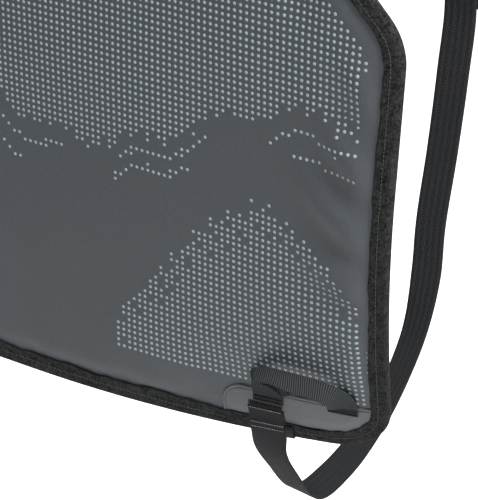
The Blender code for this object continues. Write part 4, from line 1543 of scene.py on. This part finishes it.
class BIKEPAD_OT_frame_straps(bpy.types.Operator):
    """Frame straps: anchor, ring and hook and loop strap on a sewn base, for each bike"""

    bl_idname = "bikepad.frame_straps"
    bl_label = "Frame straps"

    def execute(self, context):
        for side in (-1, 1):
            self.base(side)
            self.anchor(side)
            self.strap(side)
            self.ring(side)
        return {"FINISHED"}

    def base(self, side):
        """A flat patch with rounded corners and one row of stitches."""
        half_x, half_v, round_by = BASE_LENGTH / 2, BASE_WIDTH / 2, 0.006
        v = half_v * np.sin(np.linspace(-1, 1, 40) * math.pi / 2)
        past = np.maximum(abs(v) - half_v + round_by, 0)
        reach = half_x - round_by + np.sqrt(np.maximum(round_by**2 - past**2, 0))
        x = side * FRAME_STRAP_X + reach[:, None] * np.linspace(-1, 1, 60)
        v = np.broadcast_to(v[:, None], x.shape)[::-1]
        points = drape(x, v, cover_lift(x, v) + 0.0001 + PATCH)
        name = word(side)
        grid_piece(
            f"base_{name}",
            points,
            finishes()["patch"],
            "patch_tarpaulin",
            [f"frame_strap_base_{name}"],
            np.stack([x, v], axis=-1),
            wall=PATCH * 0.9,
        )
        path = even(rounded_box(half_x - 0.004, half_v - 0.004, 0.004), 0.0015)
        x, v = side * FRAME_STRAP_X + path[:, 0], path[:, 1]
        places = seam(x, v, 0.0027, cover_lift(x, v) + PATCH + 0.0001)
        threads(f"base_stitches_{name}", *places, 0.0022, 0.00025, finishes()["thread"])

    def anchor(self, side):
        """Webbing sewn on the base, folded round the ring's inner bar."""
        low, pitch, wrap, ring, _ = ring_levels()
        bar = -FRAME_STRAP_HALF + RING_LENGTH
        end = bar + ANCHOR_LENGTH
        turn = arc((bar, ring), wrap, 1.5, 0.5)
        path = [[(end, low)], turn, [(end - ANCHOR_LENGTH / 2, low + pitch), (end, low + pitch)]]
        path = flowing(np.concatenate(path), 90)
        edges = lying_edges(side, path, FRAME_STRAP_WIDTH)
        name = word(side)
        nodes = [f"frame_strap_anchor_{name}"]
        band(f"anchor_{name}", *edges, WEBBING, finishes()["strap"], "webbing", nodes)

    def strap(self, side):
        """Webbing from the base, back over itself, round the ring's outer bar and down again."""
        low, pitch, wrap, ring, over_anchor = ring_levels()
        start = -FRAME_STRAP_HALF + RING_LENGTH + ANCHOR_LENGTH + 0.004
        outer_bar, inner_bar = -FRAME_STRAP_HALF, -FRAME_STRAP_HALF + RING_LENGTH
        top = over_anchor + pitch
        path = [
            [(start, low)],
            arc((FRAME_STRAP_HALF, low + pitch / 2), pitch / 2, -0.5, 0.5, 8),
            [(start + 0.012, low + pitch)],
            [(start - 0.012, low + 2 * pitch + 0.001)],
            [(inner_bar + 0.006, over_anchor), (inner_bar - 0.001, over_anchor)],
            [(outer_bar + 0.4 * RING_LENGTH, (over_anchor + ring) / 2 - 0.001)],
            arc((outer_bar, ring), wrap, -0.35, -1.0, 8),
            [(outer_bar - wrap, (ring + top) / 2)],
            [(outer_bar + 0.2 * RING_LENGTH, top), (inner_bar + 0.008, top)],
            [(start - 0.010, low + 3 * pitch + 0.002), (start + 0.014, low + 2 * pitch)],
            [(start + 0.045, low + 2 * pitch)],
        ]
        path = flowing(np.concatenate(path), 320)
        edges = lying_edges(side, path, FRAME_STRAP_WIDTH)
        name = word(side)
        nodes = [f"frame_strap_{name}"]
        band(f"frame_webbing_{name}", *edges, WEBBING, finishes()["strap"], "webbing", nodes)

    def ring(self, side):
        """A rectangular ring of round wire, level over the anchor."""
        level = 2 * HALF + ring_levels()[3]
        half_y = (FRAME_STRAP_WIDTH + RING_WIRE) / 2 + 2 * SEAT + RING_WIRE / 2
        outer = FRAME_STRAP_X - FRAME_STRAP_HALF
        corners = [(outer, 0), (outer, half_y), (outer + RING_LENGTH, half_y)]
        corners += [(outer + RING_LENGTH, -half_y), (outer, -half_y), (outer, 0)]
        path, _ = rounded(corners, [RING_WIRE] * 4, 8)
        path = even(np.concatenate([path, path[:1]]), 0.0015)
        path = np.column_stack([side * path[:-1, 0], path[:-1, 1], np.full(len(path) - 1, level)])
        points = tube(path, RING_WIRE, np.array([0, 0, 1.0]), 1.0)
        name = word(side)
        nodes = [f"frame_strap_ring_{name}"]
        grid_piece(f"ring_{name}", points, finishes()["steel"], "steel", nodes, closed=True)


class BIKEPAD_OT_stage(bpy.types.Operator):
    """Stage: pale floor, soft lights and the camera"""

    bl_idname = "bikepad.stage"
    bl_label = "Stage"

    def execute(self, context):
        scene = context.scene
        mesh = bpy.data.meshes.new("floor")
        turns = ((-1, -1), (1, -1), (1, 1), (-1, 1))
        corners = [(a * FLOOR_HALF, b * FLOOR_HALF, FLOOR_LEVEL) for a, b in turns]
        mesh.from_pydata(corners, [], [(0, 1, 2, 3)])
        floor = bpy.data.objects.new("floor", mesh)
        pale = Finish("pale floor", 0.9)
        pale.shader.inputs["Base Color"].default_value = (0.92, 0.92, 0.92, 1)
        mesh.materials.append(pale.material)
        scene.collection.objects.link(floor)
        world = bpy.data.worlds.new("studio")
        scene.world = world
        world.use_nodes = True
        sky = world.node_tree.nodes["Background"]
        sky.inputs["Color"].default_value = (1, 1, 1, 1)
        sky.inputs["Strength"].default_value = WORLD_STRENGTH
        scene.view_settings.view_transform = "Standard"
        for name, place, size, power in LIGHTS:
            self.light(name, place, size, power)
        self.camera()
        return {"FINISHED"}

    def light(self, name, place, size, power):
        """An area light that faces the middle of the pad."""
        lamp = bpy.data.lights.new(name, "AREA")
        lamp.size = size
        lamp.energy = power
        made = bpy.data.objects.new(name, lamp)
        aim = np.array(LIT_POINT) - np.array(place)
        back = -unit(aim)
        right = unit(np.cross((0, 0, 1), back))
        turn = Matrix(np.column_stack([right, np.cross(back, right), back]).tolist()).to_4x4()
        turn.translation = place
        made.matrix_world = turn
        bpy.context.scene.collection.objects.link(made)

    def camera(self):
        """The camera: turned round to the right, then down, with a slight roll."""
        yaw, pitch, roll = (math.radians(a) for a in CAMERA_TURNS)
        flat = math.cos(pitch)
        ahead = np.array([-math.sin(yaw) * flat, math.cos(yaw) * flat, -math.sin(pitch)])
        level = np.array([math.cos(yaw), math.sin(yaw), 0])
        up = np.cross(level, ahead)
        right = math.cos(roll) * level + math.sin(roll) * up
        up = np.cross(right, ahead)
        lens = bpy.data.cameras.new("camera")
        lens.sensor_fit = "VERTICAL"
        lens.sensor_height = 36
        lens.lens = CAMERA_LENS
        lens.clip_end = 60
        made = bpy.data.objects.new("camera", lens)
        turn = Matrix(np.column_stack([right, up, -ahead]).tolist()).to_4x4()
        turn.translation = CAMERA_PLACE
        made.matrix_world = turn
        bpy.context.scene.collection.objects.link(made)
        bpy.context.scene.camera = made


class BIKEPAD_PT_panel(bpy.types.Panel):
    """The pad's sizes, colours and pieces"""

    bl_label = "Bike Pad"
    bl_idname = "BIKEPAD_PT_panel"
    bl_space_type = "VIEW_3D"
    bl_region_type = "UI"
    bl_category = "Bike Pad"

    def draw(self, context):
        for group in (context.scene.bike_pad_sizes, context.scene.bike_pad_colours):
            column = self.layout.column()
            for name in group.__annotations__:
                column.prop(group, name)
        for operator in OPERATORS:
            self.layout.operator(operator.bl_idname)


OPERATORS = (
    BIKEPAD_OT_cover,
    BIKEPAD_OT_foam,
    BIKEPAD_OT_lining,
    BIKEPAD_OT_binding,
    BIKEPAD_OT_binding_stitches,
    BIKEPAD_OT_print,
    BIKEPAD_OT_patches,
    BIKEPAD_OT_handles,
    BIKEPAD_OT_straps,
    BIKEPAD_OT_stays,
    BIKEPAD_OT_buckles,
    BIKEPAD_OT_tabs,
    BIKEPAD_OT_frame_straps,
    BIKEPAD_OT_stage,
)
CLASSES = (BikePadSizes, BikePadColours, *OPERATORS, BIKEPAD_PT_panel)


def register():
    for each in CLASSES:
        bpy.utils.register_class(each)
    bpy.types.Scene.bike_pad_sizes = PointerProperty(type=BikePadSizes)
    bpy.types.Scene.bike_pad_colours = PointerProperty(type=BikePadColours)


def unregister():
    del bpy.types.Scene.bike_pad_sizes
    del bpy.types.Scene.bike_pad_colours
    for each in reversed(CLASSES):
        bpy.utils.unregister_class(each)


def main():
    """Every operator in turn, as the panel's buttons run them."""
    register()
    for operator in OPERATORS:
        group, name = operator.bl_idname.split(".")
        getattr(getattr(bpy.ops, group), name)()


if __name__ == "__main__":
    main()
